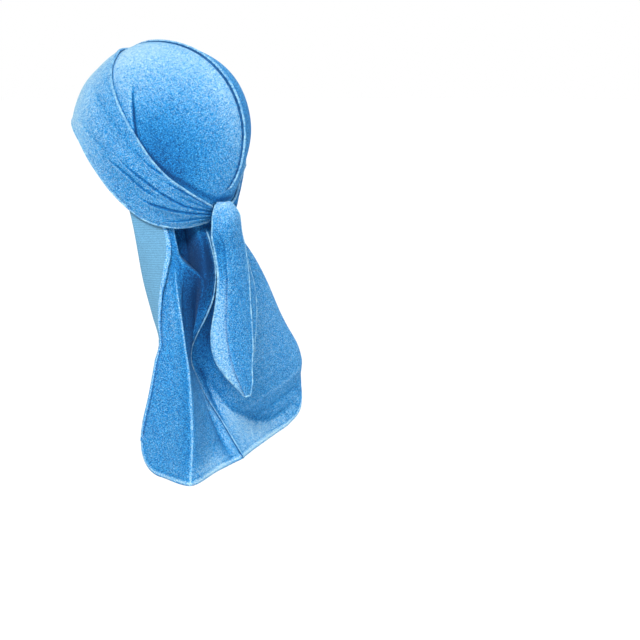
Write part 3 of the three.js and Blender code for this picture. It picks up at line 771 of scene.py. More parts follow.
class Nodes:
    """A short way to lay out a material's nodes."""

    def __init__(self, name):
        self.material = bpy.data.materials.new(name)
        self.material.use_nodes = True
        self.tree = self.material.node_tree
        self.shader = self.tree.nodes["Principled BSDF"]

    def add(self, kind, settings=(), **values):
        """A node with its settings, and its sockets by name, or by number after a low line."""
        node = self.tree.nodes.new(kind)
        for key, value in dict(settings).items():
            setattr(node, key, value)
        for key, value in values.items():
            self.feed(node, key, value)
        return node

    def feed(self, node, key, value):
        socket = node.inputs[int(key[1:]) if key[0] == "_" else key.replace("_", " ")]
        if isinstance(value, bpy.types.NodeSocket):
            self.tree.links.new(value, socket)
        else:
            socket.default_value = value

    def ramp(self, factor, stops):
        node = self.add("ShaderNodeValToRGB", Fac=factor)
        elements = node.color_ramp.elements
        while len(elements) < len(stops):
            elements.new(0.5)
        for element, (place, color) in zip(elements, stops):
            element.position = place
            element.color = color
        return node.outputs["Color"]

    def mix(self, factor, first, second):
        return self.add("ShaderNodeMix", {"data_type": "RGBA"}, _0=factor, _6=first,
                        _7=second).outputs[2]

    def noise(self, place, scale, detail=2.0, rough=0.5):
        return self.add("ShaderNodeTexNoise", Vector=place, Scale=scale, Detail=detail,
                        Roughness=rough).outputs["Fac"]

    def sum(self, first, second, share):
        """The first value plus a share of the second."""
        return self.add("ShaderNodeMath", {"operation": "MULTIPLY_ADD"}, _0=second, _1=share,
                        _2=first).outputs[0]

    def place(self):
        return self.add("ShaderNodeTexCoord").outputs["Object"]

    def value(self, name):
        """The number that a sheet keeps at its points under a name."""
        return self.add("ShaderNodeAttribute", {"attribute_name": name}).outputs["Fac"]

    def specks(self, place):
        """A random value for each tuft or stitch."""
        cells = self.add("ShaderNodeTexVoronoi", Vector=place, Scale=TUFTS).outputs["Color"]
        return self.add("ShaderNodeSeparateColor", Color=cells).outputs[0]

    def finish(self, color, roughness, sheen, sheen_roughness, tint):
        """The cloth's colour and its soft finish."""
        values = {"Base Color": color, "Roughness": roughness, "Specular IOR Level": 0.15,
                  "Sheen Weight": sheen, "Sheen Roughness": sheen_roughness, "Sheen Tint": tint}
        for key, value in values.items():
            self.feed(self.shader, key, value)
        return self.material

    def bump(self, strength, distance, height):
        node = self.add("ShaderNodeBump", Strength=strength, Distance=distance, Height=height)
        self.feed(self.shader, "Normal", node.outputs["Normal"])


def opaque(color, share=1.0):
    return (*(part * share for part in color), 1.0)


def velvet_material(name, colors, lift):
    """A short pile: strong light and dark specks, soft brushed patches and a pale sheen, with
    painted light and shade: crests lighter as painted highlights, creases and shaded places darker
    as painted shade, and hems lighter, partly for their turned pile and partly as a painted
    highlight."""
    nodes = Nodes(name)
    place = nodes.place()
    tuft = nodes.specks(place)
    total = nodes.sum(lift - 0.5 * SPECKLE - 0.25 * BRUSHED, tuft, SPECKLE)
    total = nodes.sum(total, nodes.noise(place, 34, 3.0, 0.55), 0.5 * BRUSHED)
    total = nodes.sum(total, nodes.value("tone"), PAINTED_LIGHT_SCALE)
    total = nodes.sum(total, nodes.value("hem"), HEM_PILE_AND_HIGHLIGHT)
    pile = (colors.shadow, colors.deep, colors.middle, colors.pale, colors.bright)
    stops = [(k / 4, opaque(color)) for k, color in enumerate(pile)]
    nodes.bump(0.5, 0.0006, nodes.sum(nodes.noise(place, TUFTS * 1.4, 2.0, 0.6), tuft, 1.0))
    return nodes.finish(nodes.ramp(total, stops), 0.9, SHEEN, 0.3, opaque(colors.sheen))


def wrong_side_material(name, color, tint):
    """The knitted back of the cloth: matt, with fine level courses."""
    nodes = Nodes(name)
    place = nodes.place()
    courses = nodes.add("ShaderNodeTexWave", {"bands_direction": "Z"}, Vector=place, Scale=140,
                        Distortion=1.2, Detail=1.5, Detail_Scale=30.0).outputs["Fac"]
    courses = nodes.sum(nodes.sum(0, courses, 0.3), nodes.specks(place), 0.6)
    lines = nodes.ramp(courses, [(0, opaque(color, 0.5)), (0.9, opaque(color, 1.4))])
    cloud = nodes.noise(place, 30, 2.0, 0.5)
    toned = nodes.mix(cloud, opaque(color, 0.9), opaque(color, 1.08))
    nodes.bump(0.35, 0.0004, courses)
    return nodes.finish(nodes.mix(0.7, toned, lines), 0.95, 0.25, 0.5, tint)


def thread_material(name, dark, light, tint):
    """Overlocking thread: matt and a little fuzzy, speckled dark and light."""
    nodes = Nodes(name)
    place = nodes.place()
    speck = nodes.noise(place, 700, 2.0, 0.7)
    tone = nodes.sum(nodes.sum(-0.35, speck, 1.0), nodes.noise(place, 240, 2.0, 0.5), 0.7)
    nodes.bump(0.5, 0.0004, speck)
    color = nodes.ramp(tone, [(0.3, opaque(dark)), (0.7, opaque(light))])
    return nodes.finish(color, 0.8, 0.15, 0.4, tint)


def floor_material(name, color):
    nodes = Nodes(name)
    values = {"Base Color": opaque(color), "Roughness": 0.9, "Emission Color": opaque(color),
              "Emission Strength": 0.1}
    for key, value in values.items():
        nodes.feed(nodes.shader, key, value)
    return nodes.material


# Sizes and colours


def length_property(name, default, description):
    return FloatProperty(name=name, description=description, default=default, min=0.0,
                         unit="LENGTH", subtype="DISTANCE", precision=4)


def color_property(name, default, description):
    return FloatVectorProperty(name=name, description=description, default=default, size=3,
                               min=0.0, max=1.0, subtype="COLOR")


class DuragSizes(PropertyGroup):
    cloth: length_property("Cloth", CLOTH, "Thickness of the velvet")
    clearance: length_property("Clearance", CLEARANCE, "Room between two layers of cloth")
    hem: length_property("Hem", 0.0044, "Width of the turned hem")
    hem_puff: length_property("Hem puff", 0.0007, "How far the turned hem stands up")
    lapel_stand: length_property("Lapel stand", 0.003, "How far the lapel lifts off the cloth")
    seam_width: length_property("Seam width", 0.0056, "Width of the overlocked seam")
    seam_height: length_property("Seam height", 0.0026, "How far the overlocked seam stands up")
    stitch: length_property("Stitch", 0.0021, "Length of one overlocking stitch")
    pleat: length_property("Pleat", 0.0028, "How far the band's pleats stand up at the knot")
    crown_pleat: length_property("Crown pleat", 0.0017, "Height of the pleat above the left ear")
    band_cloth: length_property("Band cloth", 0.0016, "Thickness of the band's layers")
    tie_cloth: length_property("Tie cloth", 0.0014, "Thickness of the ties")


class DuragColors(PropertyGroup):
    # The five velvet colours are the stops of one ramp that carries the tufts' speckle and also the
    # painted light and shade: shadow and deep give the painted shade of hollows and creases, pale
    # and bright the painted highlights of crests, hems and lit places
    shadow: color_property("Shadow velvet", (0.006, 0.045, 0.15), "Velvet down between the tufts")
    deep: color_property("Deep velvet", (0.008, 0.12, 0.38), "Velvet where the pile stands up")
    middle: color_property("Middle velvet", (0.012, 0.25, 0.68), "Velvet in an even light")
    pale: color_property("Pale velvet", (0.075, 0.42, 0.76), "Velvet where the pile lies over")
    bright: color_property("Bright velvet", (0.53, 0.76, 0.87), "Tips of the pile in the light")
    sheen: color_property("Sheen", (0.5, 0.8, 1.0), "Tint of the velvet's sheen")
    wrong_side: color_property("Wrong side", (0.125, 0.31, 0.48), "Knitted back of the velvet")
    thread_dark: color_property("Dark thread", (0.004, 0.035, 0.13), "Dark specks of seam thread")
    thread_light: color_property("Light thread", (0.02, 0.14, 0.36), "Light specks of seam thread")
    hem_dark: color_property("Dark hem", (0.02, 0.2, 0.5), "Dark specks of hem thread")
    hem_light: color_property("Light hem", (0.36, 0.65, 0.8), "Light specks of hem thread")
    floor: color_property("Floor", (1.0, 1.0, 1.0), "Studio floor")


def sizes():
    return bpy.context.scene.durag_sizes


def material(key):
    """A finish of the durag, made when it is first asked for."""
    if key in bpy.data.materials:
        return bpy.data.materials[key]
    colors = bpy.context.scene.durag_colors
    tint = opaque(colors.sheen)
    if key == "velvet_pile":
        return velvet_material(key, colors, CLOTH_LIFT)
    if key == "hem_pile_highlight":
        return velvet_material(key, colors, HEM_LIFT)
    if key == "knit_back":
        return wrong_side_material(key, colors.wrong_side, tint)
    if key == "pale_thread":
        return thread_material(key, colors.hem_dark, colors.hem_light, tint)
    if key == "dark_thread":
        return thread_material(key, colors.thread_dark, colors.thread_light, tint)
    return floor_material(key, colors.floor)


def cloth_materials():
    """A cloth's materials: 0 on the outside, 1 on the inside, and 2 on the hems and the rim, a
    lighter pile that is partly a painted highlight.
    """
    return [material(key) for key in ("velvet_pile", "knit_back", "hem_pile_highlight")]


# Panels


# Half the gap between the panels at the seam
SEAM_GAP = 0.0001

# The share of a row beside its edge that its length is measured on, and a place close to the edge
EDGE_SHARE = 0.3
BESIDE_EDGE = 0.93


def row_length(side, along, cloth):
    """The length of each row from the seam to the side, measured at the side."""
    edge = panel_point(side, np.ones_like(along), along, cloth)
    inner = panel_point(side, np.full_like(along, 1 - EDGE_SHARE), along, cloth)
    return np.linalg.norm(edge - inner, axis=-1) / EDGE_SHARE


def flap_width(side, along, cloth, hem):
    """The width that is turned back at the free edge: the hem's, or the lapel's."""
    if side == RIGHT:
        return np.full_like(along, hem)
    down = np.clip(along - 1, 0, 1)
    top = crown_point(side, np.ones(1), np.ones(1), cloth)[0]
    drop = (top[2] - tail_point(side, np.ones_like(down), down, cloth)[..., 2]) / TAIL_DROP
    width = LAPEL_WIDTH * read(LAPEL_ROWS, "drop", drop, "width")
    return np.where(along < 1, hem, np.maximum(hem, width))


def panel_rows():
    """The places of the rows along a panel."""
    crown = np.interp(np.linspace(0, 1, CROWN_STEPS, endpoint=False), CROWN_PACE["step"],
                      CROWN_PACE["along"])
    tail = 1 + read(TAIL_PACE, "step", np.linspace(0, 1, TAIL_STEPS + 1), "down")
    return np.concatenate([crown, tail])


def panel_grid(side):
    """The middle surface of a panel: its columns from the seam to the side, the fold round its free
    edge, and the hem or lapel that lies turned back."""
    size = sizes()
    along = panel_rows()
    rows = along[:, None]
    length = row_length(side, along, size.cloth)[:, None]
    start = SEAM_GAP / length
    pace = LEFT_PACE if side == LEFT else RIGHT_PACE
    share = np.interp(np.linspace(0, 1, PANEL_STEPS + 1), pace["step"], pace["across"])[None]
    across = start + (1 - start) * share
    main = panel_point(side, across, rows, size.cloth)
    grid = np.concatenate([main, *turned_edge(side, main[:, -1:], rows, length)], axis=1)
    return {"along": along, "grid": grid, "across": across, "main": PANEL_STEPS + 1}


def turned_edge(side, edge, rows, length):
    """The fold round a panel's free edge, and the hem or lapel beyond it, which narrows and closes
    up towards the bottom corner."""
    size = sizes()
    out = panel_normal(side, np.ones_like(rows), rows, size.cloth)
    onward = unit(edge - panel_point(side, np.full_like(rows, BESIDE_EDGE), rows, size.cloth))
    to_corner = run_length(edge[::-1], 0)[::-1]
    close = FLAP_END + (1 - FLAP_END) * smooth(to_corner / FLAP_FADE)
    radius = (size.cloth + size.clearance) / 2 * close[..., None]
    angle = (np.pi * np.arange(1, FOLD_STEPS + 1) / (FOLD_STEPS + 1))[None, :, None]
    arc = edge + out * radius * (1 - np.cos(angle)) + onward * radius * np.sin(angle)
    hem_width = size.hem * close
    width = flap_width(side, rows[:, 0], size.cloth, size.hem)[:, None]
    width = np.maximum(hem_width, width * close)
    plain = np.linspace(0, 1, FLAP_STEPS, endpoint=False)[None] * (width - hem_width)
    hem = (width - hem_width) + np.linspace(0, 1, HEM_STEPS + 1)[None] * hem_width
    back = np.concatenate([plain, hem], axis=1)
    free = smooth((rows - LAPEL_FREE) / (LAPEL_FREE - 1))
    free = free * smooth((width - hem_width) / LAPEL_WIDTH)
    lift = (size.cloth + size.clearance) * close + size.lapel_stand * free * smooth(back / width)
    across = 1 - back / length
    flap = panel_point(side, across, rows, size.cloth)
    return arc, flap + panel_normal(side, across, rows, size.cloth) * lift[..., None]


def crown_way(grid):
    """The direction of each point of the crown from the middle of the head."""
    return unit(vector(grid[..., 0] / HEAD_HALF_WIDTH, grid[..., 1] / HEAD_HALF_LENGTH,
                       (grid[..., 2] - HEAD_LEVEL) / HEAD_RISE))


# The crown's pleat: the widths of its soft front and of its steep back, the painted shade in the
# crease behind it by place and width, and the rise in degrees over which it dies out
PLEAT_FRONT = 0.009
PLEAT_BACK = 0.0024
PLEAT_CREASE_SHADE = (0.0022, 0.0016)
PLEAT_TOP = (42, 22)


def crown_pleat(side, grid):
    """The soft pleat that the band pulls into the crown above the left ear: its height, and its
    painted light and shade, a painted highlight on its front and painted shade in the crease behind
    it."""
    if side == RIGHT:
        return np.zeros(grid.shape[:2]), np.zeros(grid.shape[:2])
    way = crown_way(grid)
    turn, rise = turn_of(way), rise_of(way)
    line = read(CROWN_PLEAT, "rise", rise, "turn")
    past = np.radians(turn - line) * HEAD_HALF_LENGTH * np.cos(np.radians(rise))
    front = np.exp(-(past / PLEAT_FRONT) ** 2)
    back = 1 - smooth(past / PLEAT_BACK)
    crease = np.exp(-((past - PLEAT_CREASE_SHADE[0]) / PLEAT_CREASE_SHADE[1]) ** 2)
    size = smooth((PLEAT_TOP[0] - rise) / PLEAT_TOP[1]) * (way[..., 2] > -0.3)
    # A painted highlight on the pleat's front and painted shade in its crease
    return (sizes().crown_pleat * size * np.where(past < 0, front, back),
            size * (0.3 * front * (past < 0) - 1.4 * crease))


def painted_band_shadow(grid):
    """The painted shadow that the band casts on the crown: how near each point is to the band's
    upper edge, 1 right beside it.
    """
    way = crown_way(grid)
    turn = turn_of(way)
    wrap = np.abs(turn) / np.where(turn > 0, BAND_LEFT_END, BAND_RIGHT_END)
    over = np.radians(rise_of(way) - read(BAND_EDGES, "wrap", wrap, "upper")) * HEAD_RISE
    return np.exp(-(over / BAND_SHADOW_WIDTH) ** 2)


def tail_wrinkles(side, grid, along):
    """Small folds where the tail comes out from under the band, and wider soft ones low down."""
    down = np.clip(along - 1, 0, 1)[:, None]
    near = smooth(down / 0.05) * (1 - smooth((down - 0.1) / 0.3))
    low = smooth((down - 0.25) / 0.3)
    run = run_length(grid, 1)
    return TAIL_WAVE * (near * ripple(run / 0.009, down * 18, 11 + side)
                        + low * ripple(run / 0.03, down * 9, 21 + side))


def fold_relief(side, across, along):
    """How far the tail's folds lift each point of a panel, and the painted light and shade that
    they leave beside them.
    """
    place = np.stack(np.broadcast_arrays(across * TAIL_SPREAD, along * TAIL_DROP), axis=-1)
    relief, tone = np.zeros(place.shape[:-1]), np.zeros(place.shape[:-1])
    for crisp in (row for row in TAIL_FOLDS if row["side"] == side):
        points = np.array(crisp["line"], float)
        line = points[:, :2] * (TAIL_SPREAD, TAIL_DROP)
        nearest = np.full(relief.shape, np.inf)
        height = np.zeros_like(relief)
        before = np.zeros(relief.shape, bool)
        for k in range(len(line) - 1):
            way = line[k + 1] - line[k]
            away = place - line[k]
            share = np.clip((away @ way) / (way @ way), 0, 1)
            distance = np.linalg.norm(away - share[..., None] * way, axis=-1)
            closer = distance < nearest
            nearest = np.where(closer, distance, nearest)
            here = points[k, 2] + (points[k + 1, 2] - points[k, 2]) * share
            height = np.where(closer, here, height)
            turned = away[..., 0] * way[1] - away[..., 1] * way[0]
            before = np.where(closer, turned < 0, before)
        width = np.where(before, *crisp["widths"])
        relief += height / 1000 * np.exp(-(nearest / width) ** crisp["sharp"])
        grown = np.abs(height) / np.abs(points[:, 2]).max()
        # Painted highlight and painted shade on either side of the fold line, out to its reach
        past = smooth(0.5 + np.where(before, -nearest, nearest) / TONE_CHANGE)
        lighter = crisp["painted_tones"][0] * (1 - past) + crisp["painted_tones"][1] * past
        tone += lighter * grown * np.exp(-(nearest / crisp["reach"]) ** 2)
    return relief, tone


def painted_light_places(side, across, along):
    """Painted light and shade at the listed places of a panel: lighter where the light falls full
    on the cloth, darker in its hollows and shaded places.
    """
    total = 0
    for own, a, b, wide, tall, tone in zip(*PAINTED_LIGHT_PLACES.values()):
        if own == side:
            total = total + tone * np.exp(-((across - a) / wide) ** 2 - ((along - b) / tall) ** 2)
    return total


# The rows at the bottom that hold all of the bottom hem
HEM_ROWS = 60


def to_bottom(grid, main):
    """The distance of each point of a panel from its bottom edge, round the corner too."""
    away = np.full(grid.shape[:2], np.inf)
    low = grid[-HEM_ROWS:]
    for edge in grid[-1, :main]:
        away[-HEM_ROWS:] = np.minimum(away[-HEM_ROWS:], np.linalg.norm(low - edge, axis=-1))
    return away


def hem_puff(made, size):
    """How far the turned hem stands up, along the bottom edge and along the side, and the distance
    from the bottom edge."""
    grid = made["grid"]
    away = to_bottom(grid, made["main"])
    corner = np.linalg.norm(grid - grid[-1, made["main"] - 1], axis=-1)
    bottom = np.sin(np.pi * np.clip(away / size.hem, 0, 1)) ** 0.7
    bottom = bottom * (away < size.hem) * smooth(corner / (2 * size.hem))
    side = np.zeros(grid.shape[:2])
    side[:, -HEM_STEPS - 1:] = np.sin(np.pi * np.linspace(0.1, 0.95, HEM_STEPS + 1)) ** 0.7
    return bottom, side, away


def hem_light(made, to_hem, start, size):
    """How near each point is to a hem, which is painted lighter partly for its turned pile and
    partly as a painted highlight: all of the bottom hem, and the side edge from a start.
    """
    run = run_length(made["grid"], 1)
    to_side = np.abs(run - run[:, made["main"] - 1:made["main"]])
    beside = np.clip((SIDE_HEM - to_side) / 0.001, 0, 1)
    beside = beside * smooth((made["along"][:, None] - start) / 0.1)
    return np.maximum(np.clip((size.hem - to_hem) / 0.001, 0, 1), beside)


def build_panel(side, name):
    size = sizes()
    made = panel_grid(side)
    grid, along, main = made["grid"], made["along"], made["main"]
    rows = along[:, None]
    normals = grid_normals(grid)
    outwards = panel_normal(side, np.full_like(along, 0.5), along, size.cloth)
    flip = np.sign((normals[:, main // 2] * outwards).sum())
    across = np.ones(grid.shape[:2])
    across[:, :main] = made["across"]
    pleat, pleat_painted_light = crown_pleat(side, grid)
    folds, fold_painted_light = fold_relief(side, across, rows)
    relief = pleat + tail_wrinkles(side, grid, along) + folds
    relief = relief * np.interp(across, [0, EASE, 1 - EASE, 1], [0, 1, 1, 0])
    middle = grid + flip * normals * relief[..., None]
    normals = flip * grid_normals(middle)
    bottom, hem_side, to_hem = hem_puff(made, size)
    flap = np.arange(grid.shape[1]) >= main + FOLD_STEPS
    outward = size.cloth / 2 + size.hem_puff * bottom * ~flap
    inward = size.cloth / 2 + size.hem_puff * (np.maximum(hem_side, bottom) * flap + 0.3 * bottom)
    outer = middle + normals * outward[..., None]
    inner = middle - normals * inward[..., None]
    shade = one_shade(outer, 0, 1, 2)
    shade["inner"][:, -HEM_STEPS:] = 2
    shade["inner"][to_hem[1:, 1:] < size.hem] = 2
    # Painted light and shade on the panel: the listed places, the folds, the pleat, and the band's
    # painted shadow on the crown
    painted_light = painted_light_places(side, across, rows) + fold_painted_light + pleat_painted_light - painted_band_shadow(grid) * (rows < 1)
    hem = hem_light(made, to_hem, SIDE_HEM_START[side], size)
    uv = np.stack([run_length(grid, 1), run_length(grid, 0)], axis=-1)
    piece = sheet_object(name + "_velvet", outer, inner, {"cloth": uv}, shade, cloth_materials(),
                         painted_light, hem, CREST_PANEL)
    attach(piece, "root")
    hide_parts(name)
    return {"along": along, "outer": outer, "normals": normals}


# The panels as they are built, because the seams lie on them
PANELS = {}

# The seam across its width, with its lift as a share of its height. The dark stitches start at a
# column of this shape.
SEAM_SHAPE = table("side lift", [
    (-0.62, -0.1), (-0.54, 0.15), (-0.44, 0.55), (-0.32, 0.88), (-0.16, 1.0), (-0.02, 0.85),
    (0.06, 0.5), (0.14, 0.22), (0.24, 0.3), (0.36, 0.32), (0.48, 0.2), (0.6, -0.1),
])
SEAM_DARK_FROM = 6
SEAM_STEPS_A_STITCH = 4
SEAM_COLUMNS = 12


def beside_seam(start, end, away):
    """The cloth's outer face along the seam, at a distance to the left or the right of it."""
    made = PANELS[LEFT if away >= 0 else RIGHT]
    keep = (made["along"] >= start) & (made["along"] <= end)
    outer, normals = made["outer"][keep, :SEAM_COLUMNS], made["normals"][keep, :SEAM_COLUMNS]
    run = run_length(outer, 1)
    at = [[np.interp(abs(away), run[k], grid[k, :, axis]) for axis in range(3)]
          for grid in (outer, normals) for k in range(len(run))]
    return np.array(at).reshape(2, -1, 3)


def build_seam(name, start, end, share):
    """A raised seam: a pale rolled edge beside a dark line of overlocking stitches. Share is its
    width and height beside those of the crown's seam."""
    size = sizes()
    run = path_run(beside_seam(start, end, 0)[0])
    at = np.linspace(0, run[-1], int(run[-1] / size.stitch * SEAM_STEPS_A_STITCH))
    ends = 0.2 + 0.8 * smooth(np.minimum(at, run[-1] - at) / 0.004)
    outer, inner = [], []
    for side, lift in zip(*SEAM_SHAPE.values()):
        cloth, out = beside_seam(start, end, side * size.seam_width * share)
        cloth, out = at_run(cloth, run, at), unit(at_run(out, run, at))
        turns = 2 * np.pi * (at / size.stitch + 0.5 * side)
        rib = 1 + SEAM_RIB * np.sin(turns) * (lift > 0.25)
        high = size.seam_height * share * lift * rib * ends
        outer.append(cloth + out * high[:, None])
        inner.append(cloth - out * 0.0005)
    outer, inner = np.stack(outer, axis=1), np.stack(inner, axis=1)
    uv = np.stack([run_length(outer, 0), run_length(outer, 1)], axis=-1)
    shade = one_shade(outer, 1, 1, 1)
    shade["outer"][:, SEAM_DARK_FROM:] = 0
    materials = [material("dark_thread"), material("pale_thread")]
    piece = sheet_object(name + "_thread", outer, inner, {"thread": uv}, shade, materials)
    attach(piece, "root")
    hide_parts(name)


# Band


# A crease's soft lower side and its crisp upper edge
CREASE_WIDTH = 0.0042
CREASE_EDGE = 0.0008

# How light the band lies at the sides; how much lighter it is painted at the forehead, as painted
# light where the light falls full on it; and how much a crease's rim is painted lighter, as a
# painted highlight, and its groove darker, as painted shade
BAND_LIGHT = 0.2
FOREHEAD_PAINTED_LIGHT = 1.5
RIM_PAINTED_HIGHLIGHT = 0.5
GROOVE_PAINTED_SHADE = 1.1


def band_edges(reach):
    """The rise of the band's lower and upper edge, at a share of the way round to the knot."""
    return (read(BAND_EDGES, "wrap", reach, key) for key in ("lower", "upper"))


def band_way(wrap, height):
    """By wrap, from 0 at the forehead to 1 on the left and -1 on the right, and by height."""
    lower, upper = band_edges(np.abs(wrap))
    ends = np.where(wrap > 0, BAND_LEFT_END, BAND_RIGHT_END)
    return direction(wrap * ends, lower + (upper - lower) * height)


def band_inside(height):
    """How far the band stands off the head: over one layer of cloth at the top, two below."""
    return LAYERS + LAYERS * smooth((0.7 - height) / 0.3) + 0.0006


def band_relief(wrap, height):
    """Pleats that start on the side of the head and run together into the knot: how far they stand
    up, and the band's painted light and shade, lighter at the forehead, a painted highlight on each
    crease's rim and painted shade in its groove."""
    reach = np.abs(wrap)
    lower, upper = band_edges(reach)
    tall = np.radians(upper - lower) * HEAD_FALL
    relief = np.zeros_like(height)
    painted_light = BAND_LIGHT + FOREHEAD_PAINTED_LIGHT * (1 - smooth((reach - 0.15) / 0.45))
    for k, crease in enumerate(CREASES):
        shift = np.where(wrap < 0, 0.03 * math.sin(5 * k), 0)
        marks, heights = np.array(crease["line"]).T
        past = (height - np.interp(reach, marks, heights) - shift) * tall
        grown = crease["deep"] * smooth((reach - marks[0]) / 0.12)
        if marks[-1] < 1:
            grown = grown * smooth((marks[-1] - reach) / 0.06)
        edge = CREASE_EDGE / min(1, crease["deep"])
        below = np.exp(np.minimum(past, 0) / CREASE_WIDTH)
        above = 1 - smooth(past / edge)
        relief = np.maximum(relief, grown * np.where(past < 0, below, above))
        # A painted shade in the crease's groove and a painted highlight on its rim
        groove = np.exp(-((past - edge) / (1.6 * edge)) ** 2)
        rim = np.exp(-((past + edge) / edge) ** 2)
        painted_light = painted_light + grown * (RIM_PAINTED_HIGHLIGHT * rim - GROOVE_PAINTED_SHADE * groove)
    wave = ripple(height * tall / 0.004, wrap * 6, 5) * smooth((reach - 0.1) / 0.5)
    return sizes().pleat * relief + BAND_WAVE * wave, painted_light


def build_band():
    size = sizes()
    wrap, height = np.meshgrid(np.linspace(1, -1, BAND_STEPS + 1), np.linspace(0, 1, BAND_ROWS + 1),
                               indexing="ij")
    way = band_way(wrap, height)
    inside = band_inside(height)
    edge = smooth(np.minimum(height, 1 - height) / 0.03)
    relief, painted_light = band_relief(wrap, height)
    outside = inside + size.band_cloth * (0.75 + 0.25 * edge) + relief
    outer, inner = on_head(way, outside), on_head(way, inside)
    uv = np.stack([run_length(outer, 0), run_length(outer, 1)], axis=-1)
    piece = sheet_object("wrap_band_velvet", outer, inner, {"cloth": uv}, one_shade(outer, 0, 1, 2),
                         cloth_materials(), painted_light, crest=CREST_BAND)
    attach(piece, "root")
    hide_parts("wrap_band")
    for name, row in (("band_hem_lower", 0), ("band_hem_upper", -1)):
        out = unit(outer[:, row] - inner[:, row])
        path = (outer[:, row] + inner[:, row]) / 2 + out * 0.0004
        rope = rope_object(name, path, out, *BAND_HEM, size.stitch, material("pale_thread"))
        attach(rope, "root")


# Knot and ties


KNOT_SECTORS = 96
KNOT_RINGS = 36
KNOT_FOLD = 0.0034


def knot_place(lift):
    """The point over the middle of the knot's place on the head."""
    return on_head(direction(np.full(1, KNOT_TURN), np.full(1, KNOT_LEVEL)), np.full(1, lift))


def build_knot():
    """The two straps crossed and pulled tight: a lump with folds that run across it."""
    angle = np.linspace(0, 2 * np.pi, KNOT_SECTORS, endpoint=False)[None]
    ring = np.sin(np.linspace(0, np.pi / 2, KNOT_RINGS))[:, None][::-1]
    x = KNOT_WIDTH / 2 * ring * np.cos(angle)
    y = KNOT_HEIGHT / 2 * ring * np.sin(angle)
    folds = np.abs(np.sin((x * 0.8 + y * 0.6) / KNOT_FOLD + 0.6)) ** 0.6
    lift = KNOT_RISE * np.sqrt(np.maximum(0, 1 - ring**4)) * (0.86 + 0.14 * folds)
    turn = KNOT_TURN + x * DEGREES_PER_METRE
    rise = KNOT_LEVEL + np.degrees(y / HEAD_FALL)
    top = on_head(direction(turn, rise), LAYERS + lift)
    points = np.concatenate([top.reshape(-1, 3), knot_place(LAYERS)])
    rings = np.arange(KNOT_RINGS * KNOT_SECTORS).reshape(KNOT_RINGS, KNOT_SECTORS)
    faces = ring_walls(rings) + fan(rings.size, rings[0])
    piece = mesh_object("nape_knot_velvet", points, faces, [material("velvet_pile")], {})
    close_mesh(piece, 0.00002)
    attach(piece, "root")
    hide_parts("nape_knot")


# The way that the ties bow, and how far the near tie's fold slides over and sinks under
BOW_TURN = 135.0
FOLD_SLIDE = 0.0036
FOLD_SINK = 0.0034

# Painted light and shade on the ties: how much lighter they are painted where they turn over the
# knot, as a painted highlight; how much lighter the near tie's under layer is below; how much
# darker it is painted above that, as painted shade; and how dark the painted shade beside the fold
# is
TIE_TOP_HIGHLIGHT = 0.9
UNDER_LIGHT = 0.8
UNDER_PAINTED_SHADE = 0.45
FOLD_PAINTED_SHADE = 0.4


def tie_grid(rows, length, width, folded):
    """The middle surface of a tie that hangs from the knot, with its lengthwise fold."""
    marks = {**rows, "step": np.linspace(0, 1, len(rows["drop"]))}
    step, share = tie_places()
    value = {key: read(marks, "step", step, key) for key in rows}
    near = vector(value["nearLeft"] * width, value["nearBack"] * width, -value["drop"] * length)
    far = vector(value["farLeft"] * width, value["farBack"] * width, -value["drop"] * length)
    bow_way = direction(np.full(1, BOW_TURN), np.zeros(1))[0]
    bow = value["bow"] * width * hump(share)
    grid = knot_place(LAYERS + KNOT_RISE / 2)[0] + near + (far - near) * share[..., None]
    grid = grid + bow_way * bow[..., None]
    if not folded:
        return grid
    grown = smooth((step - 0.42) / 0.2)
    inside = np.clip((share - fold_place(step)) / 0.13, -1, 1)
    slide = -FOLD_SLIDE * np.sin(np.pi * inside) * grown
    deep = -FOLD_SINK * (1 - smooth((inside + 1) / 2)) * grown
    normals = grid_normals(grid)
    out = normals * np.sign((normals[TIE_STEPS // 2, TIE_ROWS // 2] * bow_way).sum())
    return grid + unit(far - near) * slide[..., None] + out * deep[..., None]


def tie_places():
    """The steps down a tie, as a column, and its rows across, as a row."""
    return np.linspace(0, 1, TIE_STEPS + 1)[:, None], np.linspace(0, 1, TIE_ROWS + 1)[None]


def fold_place(step):
    """The share across the near tie where it is folded over its under layer."""
    return 0.3 + 0.12 * smooth((step - 0.5) / 0.3)


